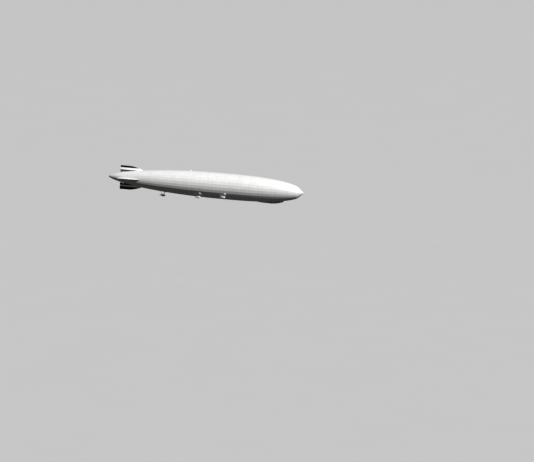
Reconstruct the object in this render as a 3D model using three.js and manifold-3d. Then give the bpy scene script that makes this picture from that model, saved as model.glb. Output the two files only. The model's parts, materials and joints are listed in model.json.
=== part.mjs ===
// Large rigid passenger airship of about 1930 with five engine cars, as a 1:10 scale model.
// Millimetres, +X to the nose, +Y to port, +Z up, origin on the hull axis at the centre of buoyancy.
import * as THREE from 'three';
import * as BufferGeometryUtils from 'three/addons/utils/BufferGeometryUtils.js';
import Module from 'manifold-3d';

const wasm = await Module();
wasm.setup();

// Driving dimensions: the airship's real sizes in metres, and M, the model's millimetres for each metre
const SCALE = 10;
const M = 1000 / SCALE;
const LENGTH = 236.6;
const HULL_RADIUS = 15.25;
const HULL_SIDES = 28;
const WIDEST = 0.42;
const STERN_FULLNESS = 0.62;
const BUOYANCY_STATION = 107.2;
const FIN_TIP_RADIUS = 14.1;
const CAR_RADIUS = 1.2;
const PROPELLER_RADIUS = 1.7;

// Sizes that belong to the model itself, in its own millimetres
const SKIN = 10;
const CABIN_WALL = 12;
const TOUCH = 0.3;
const CLEAR = 5;

// Finishes
function finish(color, roughness, metalness) {
  return new THREE.MeshStandardMaterial({ color, roughness, metalness });
}
const dopedCloth = finish(0xc9cac8, 0.45, 0.35);
const noseMetal = finish(0xbfc0c0, 0.35, 0.8);
const carMetal = finish(0xd2d2cf, 0.4, 0.6);
const strutMetal = finish(0xa9abac, 0.4, 0.7);
const engineIron = finish(0x3d3f41, 0.6, 0.6);
const propellerWood = finish(0x4a3020, 0.35, 0);
const cabinCloth = finish(0xcfd0cd, 0.45, 0.3);
const windowGlass = finish(0x2a3238, 0.1, 0);
const bumperRubber = finish(0x55524d, 0.8, 0);
const innerWood = finish(0x8c6b45, 0.6, 0);

// Shape tools
const stationX = (station) => (BUOYANCY_STATION - station) * M;
const degrees = THREE.MathUtils.degToRad;

// One closed body: shared corners merged, faces without area dropped, faces turned outwards
function closed(geometry) {
  geometry.deleteAttribute('normal');
  geometry.deleteAttribute('uv');
  const merged = BufferGeometryUtils.mergeVertices(geometry, 1e-3);
  const corners = merged.attributes.position;
  const index = [];
  const [a, b, c] = [new THREE.Vector3(), new THREE.Vector3(), new THREE.Vector3()];
  let volume = 0;
  for (let i = 0; i < merged.index.count; i += 3) {
    const [p, q, r] = merged.index.array.slice(i, i + 3);
    if (p === q || q === r || r === p) continue;
    index.push(p, q, r);
    volume += a.fromBufferAttribute(corners, p).dot(
      b.fromBufferAttribute(corners, q).cross(c.fromBufferAttribute(corners, r)));
  }
  merged.setIndex(volume < 0 ? index.reverse() : index);
  return merged;
}

function solid(geometry) {
  const body = closed(geometry);
  const vertProperties = Float32Array.from(body.attributes.position.array);
  const triVerts = Uint32Array.from(body.index.array);
  return new wasm.Manifold(new wasm.Mesh({ numProp: 3, vertProperties, triVerts }));
}

function geometryOf(manifold) {
  const mesh = manifold.getMesh();
  const geometry = new THREE.BufferGeometry();
  geometry.setAttribute('position', new THREE.BufferAttribute(mesh.vertProperties, 3));
  geometry.setIndex(new THREE.BufferAttribute(mesh.triVerts, 1));
  return geometry;
}

// A body turned about the X axis, from [x, radius] pairs that run from its aft end to its front
function turned(profile, sides) {
  const points = profile.map(([x, radius]) => new THREE.Vector2(radius, x));
  return new THREE.LatheGeometry(points, sides).rotateZ(-Math.PI / 2);
}

// A skin over closed loops of points, one loop for each row, with flat ends
function loft(rows) {
  const sides = rows[0].length;
  const last = (rows.length - 1) * sides;
  const index = [];
  for (let start = 0; start < last; start += sides) {
    for (let side = 0; side < sides; side++) {
      const low = start + side;
      const next = start + (side + 1) % sides;
      index.push(low, next, next + sides, low, next + sides, low + sides);
    }
  }
  for (let side = 1; side < sides - 1; side++) {
    index.push(0, side + 1, side, last, last + side, last + side + 1);
  }
  const geometry = new THREE.BufferGeometry().setFromPoints(rows.flat());
  return geometry.setIndex(index);
}

function block(sizeX, sizeY, sizeZ, x = 0, y = 0, z = 0) {
  return new THREE.BoxGeometry(sizeX, sizeY, sizeZ).translate(x, y, z);
}

// A round bar between two points
function bar(from, to, radius, sides = 6, flatness = 1) {
  const along = new THREE.Vector3().subVectors(to, from);
  const geometry = new THREE.CylinderGeometry(radius, radius, along.length(), sides);
  geometry.scale(1, 1, flatness);
  const up = new THREE.Vector3(0, 1, 0);
  const turn = new THREE.Quaternion().setFromUnitVectors(up, along.clone().normalize());
  const middle = from.clone().add(to).multiplyScalar(0.5);
  return geometry.applyQuaternion(turn).translate(middle.x, middle.y, middle.z);
}

const point = (x, y, z) => new THREE.Vector3(x, y, z);
const joined = (geometries) => geometries.map(solid).reduce((whole, next) => whole.add(next));

const airship = new THREE.Group();

function place(name, shape, material, parent = airship) {
  const geometry = shape instanceof THREE.BufferGeometry ? closed(shape) : geometryOf(shape);
  const mesh = new THREE.Mesh(geometry, material);
  mesh.name = name;
  parent.add(mesh);
  return mesh;
}

// Hull outline: a full bow that is drawn in by a share towards its flat front, the widest section well forward,
// and a long stern that ends in a point
const BOW_FACE = 0.3;
const BOW_POINT = { share: 0.7, to: 9.5 };
function hullRadius(station) {
  const along = station / LENGTH;
  const bow = 1 - along / WIDEST;
  const stern = (along - WIDEST) / (1 - WIDEST);
  const share = along < WIDEST ? Math.sqrt(1 - bow ** 3) : Math.max(0, 1 - stern ** 2) ** STERN_FULLNESS;
  const drawnIn = BOW_POINT.share * Math.max(0, 1 - station / BOW_POINT.to) ** 2;
  return HULL_RADIUS * M * share * (1 - drawnIn);
}

// Rings of the framework that the cover is drawn over, in metres from the nose
const RINGS = [
  BOW_FACE, 1.2, 2.8, 5, 8, 12, 17, 23.5, 32, 42, 54, 70, 87, 104,
  121, 138, 154, 169, 182, 194, 204, 213, 221, 228, 233.5, 236.3,
];

// Cover sections, from ring to ring
const HULL_SECTIONS = [
  { name: 'bow_cap', from: BOW_FACE, to: 8 },
  { name: 'hull_section_1', from: 8, to: 23.5 },
  { name: 'hull_section_2', from: 23.5, to: 42 },
  { name: 'hull_section_3', from: 42, to: 70 },
  { name: 'hull_section_4', from: 70, to: 104 },
  { name: 'hull_section_5', from: 104, to: 138 },
  { name: 'hull_section_6', from: 138, to: 169 },
  { name: 'hull_section_7', from: 169, to: 194 },
  { name: 'hull_section_8', from: 194, to: 213 },
  { name: 'tail_cone', from: 213, to: 236.3 },
];

// Outer outline of the rings between two stations, aft end first, standing out by grow
const outline = (from, to, grow) => RINGS.filter((station) => station >= from && station <= to)
  .map((station) => [stationX(station), hullRadius(station) + grow]).reverse();

for (const { name, from, to } of HULL_SECTIONS) {
  const outer = outline(from, to, 0);
  const inner = outline(from, to, -SKIN).reverse();
  if (from === BOW_FACE) {
    inner[0] = [stationX(from) - SKIN, inner[0][1]];
    const bowFace = [[stationX(from), 0], [stationX(from) - SKIN, 0]];
    place(name, turned([...outer, ...bowFace, ...inner, outer[0]], HULL_SIDES), dopedCloth);
  } else if (to === RINGS.at(-1)) {
    const end = stationX(to);
    inner[inner.length - 1] = [end + 2 * SKIN, Math.max(inner.at(-1)[1], SKIN)];
    place(name, turned([[end, 0], ...outer, ...inner, [end + 2 * SKIN, 0]], HULL_SIDES), dopedCloth);
  } else {
    place(name, turned([...outer, ...inner, outer[0]], HULL_SIDES), dopedCloth);
  }
}

// The whole hull as a cutting body, a little larger than the cover
const cornerGrow = TOUCH / Math.cos(Math.PI / HULL_SIDES);
const hullForm = () => turned([
  [stationX(RINGS.at(-1)), 0], ...outline(BOW_FACE, RINGS.at(-1), cornerGrow), [stationX(BOW_FACE), 0],
], HULL_SIDES);
const hullCutter = solid(hullForm());

// Mooring spindle on the flat of the bow, with a flat front face
const SPINDLE = { radius: 14, collar: 30, collarLength: 8 };
place('mooring_spindle', turned([
  [stationX(BOW_FACE), 0],
  [stationX(BOW_FACE), SPINDLE.collar],
  [stationX(BOW_FACE) + SPINDLE.collarLength, SPINDLE.collar],
  [stationX(BOW_FACE) + SPINDLE.collarLength, SPINDLE.radius],
  [stationX(0), SPINDLE.radius],
  [stationX(0), 0],
], 16), noseMetal);

// Gas hood on the ridge of the hull
const HOOD = { station: 137.2, length: 3.4, width: 1.5, height: 0.75 };
const hood = new THREE.SphereGeometry(0.5, 12, 8).scale(HOOD.length * M, HOOD.width * M, HOOD.height * 2 * M)
  .translate(stationX(HOOD.station), 0, hullRadius(HOOD.station));
place('ridge_hood', solid(hood).subtract(hullCutter), dopedCloth);

// Tail fins: four alike, each with a control surface hinged behind it
const FIN = {
  rootStation: 194.7, tipStation: 210.6, endStation: 222.2, hingeStation: 217.6,
  innerRadius: 5.6, rootRadius: 10.1, thicknessAtAxis: 2.5, thicknessAtTip: 0.44, edge: 3,
  noseShare: 0.375, edgePower: 0.625,
};
const SURFACE = { innerRadius: 7.0, innerSlope: 0.2, trailingEdge: 4, swing: 20, pinFrom: 7.2, pinTo: 14 };
const BRACKET = { radii: [7.9, 10.5, 13.1], thick: 14, half: 12, hole: 5.9, pin: 5, sides: 8 };

const finThickness = (radius) => M * THREE.MathUtils.mapLinear(
  radius, 0, FIN_TIP_RADIUS, FIN.thicknessAtAxis, FIN.thicknessAtTip);
const noseOf = (radius) => FIN.noseShare * finThickness(radius);

// The leading edge leaves the hull steeply and bends round until it runs along the tip
function leadingStation(radius) {
  const up = THREE.MathUtils.clamp((radius - FIN.rootRadius) / (FIN_TIP_RADIUS - FIN.rootRadius), 0, 1);
  return FIN.tipStation - (FIN.tipStation - FIN.rootStation) * (1 - up) ** FIN.edgePower;
}

// Share of the chord behind the leading edge, and share of the full thickness there
const FIN_SECTION = [[0, 0], [0.18, 0.7], [0.5, 1], [1, 0.75]];

function finRow(radius) {
  const front = stationX(leadingStation(radius));
  const back = stationX(FIN.hingeStation) + noseOf(radius) + CLEAR + 1;
  const side = FIN_SECTION.map(([chord, thick]) => [
    THREE.MathUtils.lerp(front, back, chord), Math.max(FIN.edge, finThickness(radius) * thick / 2),
  ]);
  const port = side.map(([x, y]) => point(x, y, radius * M));
  const starboard = side.map(([x, y]) => point(x, -y, radius * M));
  return [...port, ...starboard.reverse()];
}

function bracketBar(half, length, radius, thick) {
  const shape = new THREE.Shape().absarc(0, 0, half, Math.PI / 2, Math.PI * 1.5);
  shape.lineTo(length, -half);
  shape.lineTo(length, half);
  return new THREE.ExtrudeGeometry(shape, { depth: thick, bevelEnabled: false, curveSegments: 2 })
    .translate(0, 0, radius * M - thick / 2);
}

function uprightPin(radius, low, high) {
  const pin = new THREE.CylinderGeometry(radius, radius, high - low, BRACKET.sides);
  return pin.rotateX(Math.PI / 2).translate(0, 0, (low + high) / 2);
}

const hingeX = stationX(FIN.hingeStation);
const finRadii = [FIN.innerRadius, FIN.rootRadius, 11.4, 12.5, 13.3, 13.85, FIN_TIP_RADIUS];
const finBrackets = BRACKET.radii.map((radius) => bracketBar(
  BRACKET.half, noseOf(radius) + CLEAR + BRACKET.thick, radius, BRACKET.thick).translate(hingeX, 0, 0));
const hingeHole = uprightPin(BRACKET.hole, FIN.innerRadius * M, HULL_RADIUS * M).translate(hingeX, 0, 0);
const finShape = joined([loft(finRadii.map(finRow)), ...finBrackets])
  .subtract(solid(hingeHole)).subtract(hullCutter);

function surfaceRow(radius, slope) {
  const nose = noseOf(radius);
  const chord = (FIN.endStation - FIN.hingeStation) * M;
  const front = [90, 45, 0, -45, -90].map((angle) => [
    nose * Math.cos(degrees(angle)), nose * Math.sin(degrees(angle))]);
  const section = [...front, [-chord, -SURFACE.trailingEdge], [-chord, SURFACE.trailingEdge]];
  return section.map(([x, y]) => point(x, y, radius * M + slope * x));
}

// Each bracket sits in a slot that leaves it room through the surface's whole swing
const slots = BRACKET.radii.flatMap((radius) => [-SURFACE.swing, 0, SURFACE.swing].map((angle) => bracketBar(
  BRACKET.half + CLEAR, M, radius, BRACKET.thick + 2 * CLEAR).rotateZ(degrees(angle))));
const surfaceRows = [surfaceRow(SURFACE.innerRadius, SURFACE.innerSlope), surfaceRow(FIN_TIP_RADIUS, 0)];
const surfaceBlade = solid(loft(surfaceRows));
const surfacePin = solid(uprightPin(BRACKET.pin, SURFACE.pinFrom * M, SURFACE.pinTo * M));
const surfaceShape = surfaceBlade.subtract(joined(slots)).add(surfacePin);

// Turn about the hull axis, from straight up
const TAIL = [
  { place: 'upper', surface: 'rudder', turn: 0 },
  { place: 'starboard', surface: 'elevator', turn: 90 },
  { place: 'lower', surface: 'rudder', turn: 180 },
  { place: 'port', surface: 'elevator', turn: 270 },
];
for (const { place: side, surface, turn } of TAIL) {
  const quarter = new THREE.Group();
  quarter.rotation.x = degrees(turn);
  airship.add(quarter);
  place(`${side}_fin`, finShape, dopedCloth, quarter);
  place(`${side}_${surface}`, surfaceShape, dopedCloth, quarter).position.x = hingeX;
}

// Engine cars: an egg-shaped shell with a shuttered radiator in front and the propeller behind
const CAR = {
  front: 2.9, widest: 0.7, tail: -3.2, frontShare: 0.75, tailShare: 0.78, tailPower: 1.9, wall: 6, sides: 12,
};
const CAR_ROWS = [CAR.tail, -2.4, -1.2, CAR.widest, 1.9, 2.6, CAR.front];

function carRadius(x) {
  const ahead = (x - CAR.widest) / (CAR.front - CAR.widest);
  const behind = (CAR.widest - x) / (CAR.widest - CAR.tail);
  if (x > CAR.widest) return CAR_RADIUS * M * Math.sqrt(1 - CAR.frontShare * ahead ** 2);
  return CAR_RADIUS * M * (1 - CAR.tailShare * behind ** CAR.tailPower);
}

// Both ends of the body move in by the same amount as its sides
function carBody(inset) {
  const rows = CAR_ROWS.map((x) => [x * M, carRadius(x) - inset]);
  rows[0][0] += inset;
  rows[rows.length - 1][0] -= inset;
  return turned([[rows[0][0], 0], ...rows, [rows.at(-1)[0], 0]], CAR.sides);
}

// Radiator shutters: slots that get shorter by narrowing for each pitch away from the middle
const SHUTTER = { count: 4, pitch: 22, gap: 9, width: 84, narrowing: 16 };
const shutterSlots = Array.from({ length: SHUTTER.count }, (_, row) => {
  const pitches = row - (SHUTTER.count - 1) / 2;
  const width = SHUTTER.width - SHUTTER.narrowing * Math.abs(pitches);
  return block(4 * CAR.wall, width, SHUTTER.gap, CAR.front * M, 0, pitches * SHUTTER.pitch);
});

// Propeller shaft, and the boss in the car's tail that it runs in
const SHAFT = { radius: 9, bore: 9.8, reach: 46, sides: 12, boss: 24, bossLength: 50, boreEnd: 70 };
function axleBar(radius, low, high) {
  return turned([[low, 0], [low, radius], [high, radius], [high, 0]], SHAFT.sides);
}
const shaftBore = axleBar(SHAFT.bore, CAR.tail * M - SHAFT.radius, CAR.tail * M + SHAFT.boreEnd);
const tailBoss = axleBar(SHAFT.boss, CAR.tail * M, CAR.tail * M + SHAFT.bossLength);
const carShape = solid(carBody(0)).subtract(solid(carBody(CAR.wall))).add(solid(tailBoss))
  .subtract(joined([shaftBore, ...shutterSlots]));

// Twelve-cylinder engine on its two bearers, as plain blocks
const ENGINE = { length: 200, width: 84, height: 100, x: 20, z: -10 };
const BEARER = { length: 140, width: 16, y: 26, top: -40 };
const engineShape = joined([
  block(ENGINE.length, ENGINE.width, ENGINE.height, ENGINE.x, 0, ENGINE.z),
  ...[-1, 1].map((side) => block(
    BEARER.length, BEARER.width, M, ENGINE.x, side * BEARER.y, BEARER.top - M / 2)),
]).intersect(solid(carBody(CAR.wall + TOUCH)));

// Four-bladed wooden pusher propeller: distance from the shaft, chord, thickness and pitch angle of each row
const BLADE_ROWS = [
  [0.12, 0.24, 0.13, 58], [0.5, 0.33, 0.075, 42], [1.2, 0.3, 0.045, 24], [PROPELLER_RADIUS, 0.1, 0.02, 18],
];
const BLADE_SECTION = [[-0.5, 0], [-0.15, 0.5], [0.25, 0.4], [0.5, 0], [0.25, -0.2], [-0.15, -0.25]];

function bladeRow([radius, chord, thick, pitch]) {
  const axis = new THREE.Vector2();
  return BLADE_SECTION.map(([across, out]) => {
    const corner = new THREE.Vector2(out * thick * M, across * chord * M);
    corner.rotateAround(axis, degrees(90 - pitch));
    return point(corner.x, corner.y, radius * M);
  });
}

const HUB = { radius: 20, length: 34, spinner: 26, gap: CLEAR };
const hubBody = turned([
  [-HUB.length - HUB.spinner, 0],
  [-HUB.length - 0.7 * HUB.spinner, 0.55 * HUB.radius],
  [-HUB.length, HUB.radius],
  [0, HUB.radius], [0, SHAFT.radius], [HUB.gap + SHAFT.reach, SHAFT.radius], [HUB.gap + SHAFT.reach, 0],
], SHAFT.sides);
const blades = [0, 90, 180, 270].map((turn) => loft(BLADE_ROWS.map(bladeRow))
  .translate(-HUB.length / 2, 0, 0).rotateX(degrees(turn)));
const propellerShape = joined([hubBody, ...blades]);

// Where each car hangs: distance from the nose and from the hull axis, and its angle from straight down to port,
// with the angle of the hood over its ladder
const CARS = [
  { name: 'forward_port', station: 93, distance: 17.67, angle: 49.8, hoodAngle: 61 },
  { name: 'forward_starboard', station: 93, distance: 17.67, angle: -49.8, hoodAngle: -61 },
  { name: 'middle_port', station: 123.5, distance: 17.41, angle: 35, hoodAngle: 51.5 },
  { name: 'middle_starboard', station: 123.5, distance: 17.41, angle: -35, hoodAngle: -51.5 },
  { name: 'aft_centre', station: 169, distance: 17.1, angle: 0, hoodAngle: 0 },
];

// Suspension of one car, drawn as if it hung straight below the hull: four legs and the saddle that they stand
// on, with a ladder that leans up and forward to its hood on the hull
const LEG = { radius: 8, flatness: 0.6, front: 1.5, back: -1.6, foot: 0.35, spread: 1.7, rake: 0.5 };
const LADDER = { x: 0.7, half: 20, rail: 4, rungStep: 30, rung: 3, headroom: 10 };
const SADDLE = { length: 3.6, width: 90, thick: 14, x: -0.05, sunk: 8 };
const BARS = { startShare: 0.75, pastHull: 20 };
const ROOT_HOOD = { x: 2.2, length: 2.5, width: 1.9, height: 0.8 };

function suspension(car) {
  const axisZ = car.distance * M;
  const surfaceZ = axisZ - hullRadius(car.station);
  const bottom = CAR_RADIUS * BARS.startShare * M;
  const top = surfaceZ + BARS.pastHull;
  const lean = degrees(car.hoodAngle - car.angle);
  const foot = point(LADDER.x * M, 0, bottom);
  const head = point(ROOT_HOOD.x * M, 0, -hullRadius(car.station)).applyAxisAngle(point(1, 0, 0), lean)
    .add(point(0, 0, axisZ));
  const beside = point(LADDER.half, 0, 0);
  const rails = [-1, 1].map((side) => bar(
    foot.clone().addScaledVector(beside, side), head.clone().addScaledVector(beside, side), LADDER.rail, 4));
  const rungs = [];
  const length = foot.distanceTo(head);
  const firstRung = CAR_RADIUS * M + LADDER.rungStep - bottom;
  for (let along = firstRung; along < length - LADDER.headroom; along += LADDER.rungStep) {
    const rung = foot.clone().lerp(head, along / length);
    rungs.push(block(2 * LADDER.half, 2 * LADDER.rung, 2 * LADDER.rung, rung.x, rung.y, rung.z));
  }
  const legs = [LEG.front, LEG.back].flatMap((x) => [-1, 1].map((side) => bar(
    point(x * M, side * LEG.foot * M, bottom),
    point((x + Math.sign(x) * LEG.rake) * M, side * LEG.spread * M, top), LEG.radius, 6, LEG.flatness)));
  const saddleZ = CAR_RADIUS * M - SADDLE.sunk;
  const saddle = block(SADDLE.length * M, SADDLE.width, SADDLE.thick, SADDLE.x * M, 0, saddleZ);
  const hoodBall = new THREE.SphereGeometry(0.5, 10, 8)
    .scale(ROOT_HOOD.length * M, ROOT_HOOD.width * M, ROOT_HOOD.height * 2 * M)
    .rotateX(lean).translate(head.x, head.y, head.z);
  const hull = hullForm().rotateX(degrees(-car.angle)).translate(-stationX(car.station), 0, axisZ);
  const carRoom = carBody(-TOUCH).rotateX(degrees(-car.angle));
  return joined([...rails, ...rungs, ...legs, saddle, hoodBall])
    .subtract(solid(hull)).subtract(solid(carRoom));
}

for (const car of CARS) {
  const berth = new THREE.Group();
  const angle = degrees(car.angle);
  const distance = car.distance * M;
  berth.position.set(stationX(car.station), distance * Math.sin(angle), -distance * Math.cos(angle));
  airship.add(berth);
  place(`${car.name}_car`, carShape, carMetal, berth);
  place(`${car.name}_engine`, engineShape, engineIron, berth);
  place(`${car.name}_propeller`, propellerShape, propellerWood, berth).position.x = CAR.tail * M - HUB.gap;
  const hanger = new THREE.Group();
  hanger.rotation.x = angle;
  berth.add(hanger);
  place(`${car.name}_struts`, suspension(car), strutMetal, hanger);
}

// Rear landing bumper under the aft car
const REAR_BUMPER = { radius: 42, height: 46 };
const aftCar = CARS.at(-1);
const aftCarFloor = -(aftCar.distance + CAR_RADIUS) * M;
const BUMPER_TOP = 1.6;
const bumperRound = (radius, height, sides) => new THREE.LatheGeometry([
  [0, 0], [0.45, 0], [0.85, 0.25], [1, 0.6], [1, 1], [0.8, 1.35], [0.8, BUMPER_TOP], [0, BUMPER_TOP],
].map(([out, up]) => new THREE.Vector2(out * radius, up * height)), sides).rotateX(Math.PI / 2);
const rearBumper = bumperRound(REAR_BUMPER.radius, REAR_BUMPER.height, 12)
  .translate(stationX(aftCar.station), 0, aftCarFloor - REAR_BUMPER.height);
const aftCarRoom = carBody(-TOUCH).translate(stationX(aftCar.station), 0, -aftCar.distance * M);
place('rear_bumper', solid(rearBumper).subtract(solid(aftCarRoom)), bumperRubber);

// Control and passenger car under the bow: its ends, its level stretch, and the stations of its rows
const CABIN = {
  bow: 23.4, levelFrom: 37, taperFrom: 36, levelTo: 46, stern: 53.5,
  keel: 15, bowRise: 2.65, sternRise: 0.35, half: 3, sternHalf: 1.5, cornerRadius: 0.45, top: 9.5,
  bowBluntness: 0.2, roundedOver: 9.8,
};
const CABIN_CURVE = { rise: 1.9, bow: 3.2, bowFullness: 0.435, taper: 2.4 };
const CABIN_STATIONS = [
  CABIN.bow, 23.7, 24.2, 25, 26.2, 28, 30.5, 33.5, CABIN.levelFrom, 41.5, CABIN.levelTo, 50, CABIN.stern,
];
// A block of this size, centred at this height, is wider and deeper than the car
const CABIN_ROOM = { size: 8 * M, z: -13 * M };

// Keel depth and half width: a round bow that rises to the hull, a level bottom, and a narrowing stern
function cabinAt(station) {
  const toBow = Math.max(0, CABIN.levelFrom - station) / (CABIN.levelFrom - CABIN.bow);
  const toStern = Math.max(0, station - CABIN.levelTo) / (CABIN.stern - CABIN.levelTo);
  const inBow = THREE.MathUtils.clamp((station - CABIN.bow + CABIN.bowBluntness) / CABIN.roundedOver, 0, 1);
  const bowShare = (1 - (1 - inBow) ** CABIN_CURVE.bow) ** CABIN_CURVE.bowFullness;
  const inTaper = Math.max(0, station - CABIN.taperFrom) / (CABIN.stern - CABIN.taperFrom);
  return {
    keel: CABIN.keel - CABIN.bowRise * toBow ** CABIN_CURVE.rise - CABIN.sternRise * toStern ** 2,
    half: CABIN.half * bowShare - (CABIN.half - CABIN.sternHalf) * inTaper ** CABIN_CURVE.taper,
  };
}

// The car's outer form, drawn in by inset at its sides and ends and by keelInset at its bottom
function cabinForm(inset, keelInset = inset) {
  const stations = [CABIN.bow + inset / M, ...CABIN_STATIONS.slice(1, -1), CABIN.stern - inset / M];
  return solid(loft(stations.map((station) => {
    const { keel, half } = cabinAt(station);
    const x = stationX(station);
    const y = half * M - inset;
    const z = -keel * M + keelInset;
    const corner = CABIN.cornerRadius * M - Math.max(0, Math.min(inset, 2 * SKIN));
    const cut = corner * (1 - Math.SQRT1_2);
    const side = [[y, -CABIN.top * M], [y, z + corner], [y - cut, z + cut], [y - corner, z]];
    return [...side.map(([across, up]) => point(x, across, up)),
      ...side.reverse().map(([across, up]) => point(x, -across, up))];
  })));
}

// Where the car's side meets the hull
const seamDepth = (station) => Math.sqrt((hullRadius(station) / M) ** 2 - cabinAt(station).half ** 2);

// Side windows: distance from the nose, width and height
const SIDE_WINDOWS = [
  [26.1, 1.0, 0.95], [27.5, 1.15, 1.0], [29, 1.15, 1.0], [30.8, 1.0, 0.9], [32.5, 0.8, 0.8],
  [36.7, 1.25, 0.85], [38.3, 1.25, 0.85], [39.9, 1.25, 0.8],
  [42, 0.8, 0.6], [43.9, 0.8, 0.55], [45.8, 0.8, 0.5], [47.7, 0.8, 0.45],
];
const WINDOW_DROP = 0.22;
const WINDOW_CUT = 80;
const sideWindows = SIDE_WINDOWS.flatMap(([station, width, height]) => [-1, 1].map((side) => block(
  width * M, WINDOW_CUT, height * M, stationX(station), side * cabinAt(station).half * M,
  -(seamDepth(station) + WINDOW_DROP + height / 2) * M)));

// Bow windows of the control room: angle from dead ahead, width, top and bottom below the hull axis
const BOW_WINDOWS = [[0, 1.1, 11.55, 12.2], [-42, 1.0, 11.6, 12.4], [42, 1.0, 11.6, 12.4]];
const BOW_CENTRE = 25.6;
const BOW_REACH = 2.6;
const bowWindows = BOW_WINDOWS.map(([angle, width, top, bottom]) => block(
  BOW_REACH * M, width * M, (bottom - top) * M, BOW_REACH * M / 2, 0, -(top + bottom) * M / 2)
  .rotateZ(degrees(angle)).translate(stationX(BOW_CENTRE), 0, 0));

// Entrance on the starboard side, with the door hinged at its forward edge
const DOOR = { station: 34.5, width: 1.0, sill: 0.28, head: 0.2, cut: 100 };
const doorKeel = cabinAt(DOOR.station).keel;
const doorHead = seamDepth(DOOR.station) + DOOR.head;
const doorHeight = (doorKeel - DOOR.sill - doorHead) * M;
const doorZ = -(doorKeel - DOOR.sill + doorHead) * M / 2;
const doorwayOf = (margin) => block(DOOR.width * M - 2 * margin, DOOR.cut, doorHeight - 2 * margin,
  stationX(DOOR.station), -cabinAt(DOOR.station).half * M, doorZ);

const HINGE = {
  out: 9, knuckle: 7, pin: 3, hole: 3.8, half: 45, lug: 8, play: 1, inset: 2, strap: 30,
  arm: 32, armAhead: 10, foot: 20, footAhead: 16,
};
const hingeAt = {
  x: stationX(DOOR.station) + DOOR.width * M / 2 - HINGE.inset,
  y: -cabinAt(DOOR.station).half * M - HINGE.out,
};
const hingeRod = (radius, half) => uprightPin(radius, doorZ - half, doorZ + half)
  .translate(hingeAt.x, hingeAt.y, 0);
const hingeStrap = block(HINGE.strap, HINGE.out + HINGE.play, 2 * HINGE.half,
  hingeAt.x - HINGE.strap / 2, hingeAt.y + HINGE.out / 2, doorZ);
// Each lug has a foot in the wall ahead of the doorway and an arm that reaches back over the gap to the pin
const hingeLugs = [-1, 1].flatMap((end) => {
  const z = doorZ + end * (HINGE.half + HINGE.play + HINGE.lug / 2);
  const arm = block(HINGE.arm, HINGE.out + HINGE.inset, HINGE.lug, hingeAt.x + HINGE.armAhead, hingeAt.y, z);
  const foot = block(HINGE.foot, HINGE.out + HINGE.lug, HINGE.lug,
    hingeAt.x + HINGE.footAhead, hingeAt.y + HINGE.out - HINGE.inset, z);
  return [arm, foot];
});
const hingeHoles = hingeRod(HINGE.hole, HINGE.half + 2 * HINGE.lug);

const cabinWallForm = cabinForm(0).subtract(cabinForm(CABIN_WALL));
const cabinOpenings = joined([...sideWindows, ...bowWindows]);
const cabinShell = cabinWallForm.subtract(cabinOpenings).subtract(solid(doorwayOf(0)))
  .add(joined(hingeLugs)).subtract(solid(hingeHoles)).subtract(hullCutter);

// The shell comes in three lengths that butt together at the car's cross walls
const CROSS_WALLS = [{ name: 'control_room_wall', station: 31.7 }, { name: 'saloon_wall', station: 35.6 }];
const [bowJoint, saloonJoint] = CROSS_WALLS.map(({ station }) => station);
const CABIN_LENGTHS = [
  { name: 'cabin_bow', from: CABIN.bow - 1, to: bowJoint },
  { name: 'cabin_middle', from: bowJoint, to: saloonJoint },
  { name: 'cabin_aft', from: saloonJoint, to: CABIN.stern + 1 },
];

// The stretch of the car between two stations, all of it or only its port (1) or starboard (-1) half
const cabinSlab = (from, to, side = 0) => block((to - from) * M, CABIN_ROOM.size, CABIN_ROOM.size,
  stationX((from + to) / 2), side * CABIN_ROOM.size / 2, CABIN_ROOM.z);
for (const { name, from, to } of CABIN_LENGTHS) {
  place(name, cabinShell.intersect(solid(cabinSlab(from, to))), cabinCloth);
}
const doorHinge = joined([
  hingeStrap,
  hingeRod(HINGE.knuckle, HINGE.half),
  hingeRod(HINGE.pin, HINGE.half + HINGE.lug + HINGE.play),
]);
place('cabin_door', cabinWallForm.intersect(solid(doorwayOf(CLEAR))).add(doorHinge), cabinCloth);

// Glass inside the wall: one length round the bow, and one along each side behind the entrance
const GLASS = { thick: 4, sill: 55 };
const GLASS_LENGTHS = [
  { name: 'bow_glass', from: CABIN.bow - 1, to: 33.9, side: 0 },
  { name: 'port_glass', from: 34, to: 48.4, side: 1 },
  { name: 'starboard_glass', from: 35.1, to: 48.4, side: -1 },
];
const bandForm = (inset, thick, sill) => cabinForm(inset).subtract(cabinForm(inset + thick))
  .intersect(cabinForm(-M, sill));
const glassBand = bandForm(CABIN_WALL + TOUCH, GLASS.thick, GLASS.sill).subtract(hullCutter);
for (const { name, from, to, side } of GLASS_LENGTHS) {
  place(name, glassBand.intersect(solid(cabinSlab(from, to, side))), windowGlass);
}

// Cross walls of the car, each with a passage on the centreline
const CROSS_WALL = { thick: 0.08, passageWidth: 0.75, passageHeight: 3, passageMiddle: 1.7, cut: 40 };
const glassRoom = bandForm(CABIN_WALL, GLASS.thick + 3 * TOUCH, GLASS.sill - TOUCH);
for (const { name, station } of CROSS_WALLS) {
  const slab = cabinSlab(station - CROSS_WALL.thick / 2, station + CROSS_WALL.thick / 2);
  const passage = block(CROSS_WALL.cut, CROSS_WALL.passageWidth * M, CROSS_WALL.passageHeight * M,
    stationX(station), 0, -(cabinAt(station).keel - CROSS_WALL.passageMiddle) * M);
  place(name, cabinForm(CABIN_WALL + TOUCH).intersect(solid(slab)).subtract(solid(passage))
    .subtract(glassRoom).subtract(hullCutter), innerWood);
}

// Front landing bumper under the car
const FRONT_BUMPER = { station: 38.6, radius: 75, height: 34 };
const frontBumper = bumperRound(FRONT_BUMPER.radius, FRONT_BUMPER.height, 16)
  .translate(stationX(FRONT_BUMPER.station), 0, -CABIN.keel * M - BUMPER_TOP * FRONT_BUMPER.height);
place('front_bumper', frontBumper, bumperRubber);

export default airship;
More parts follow.
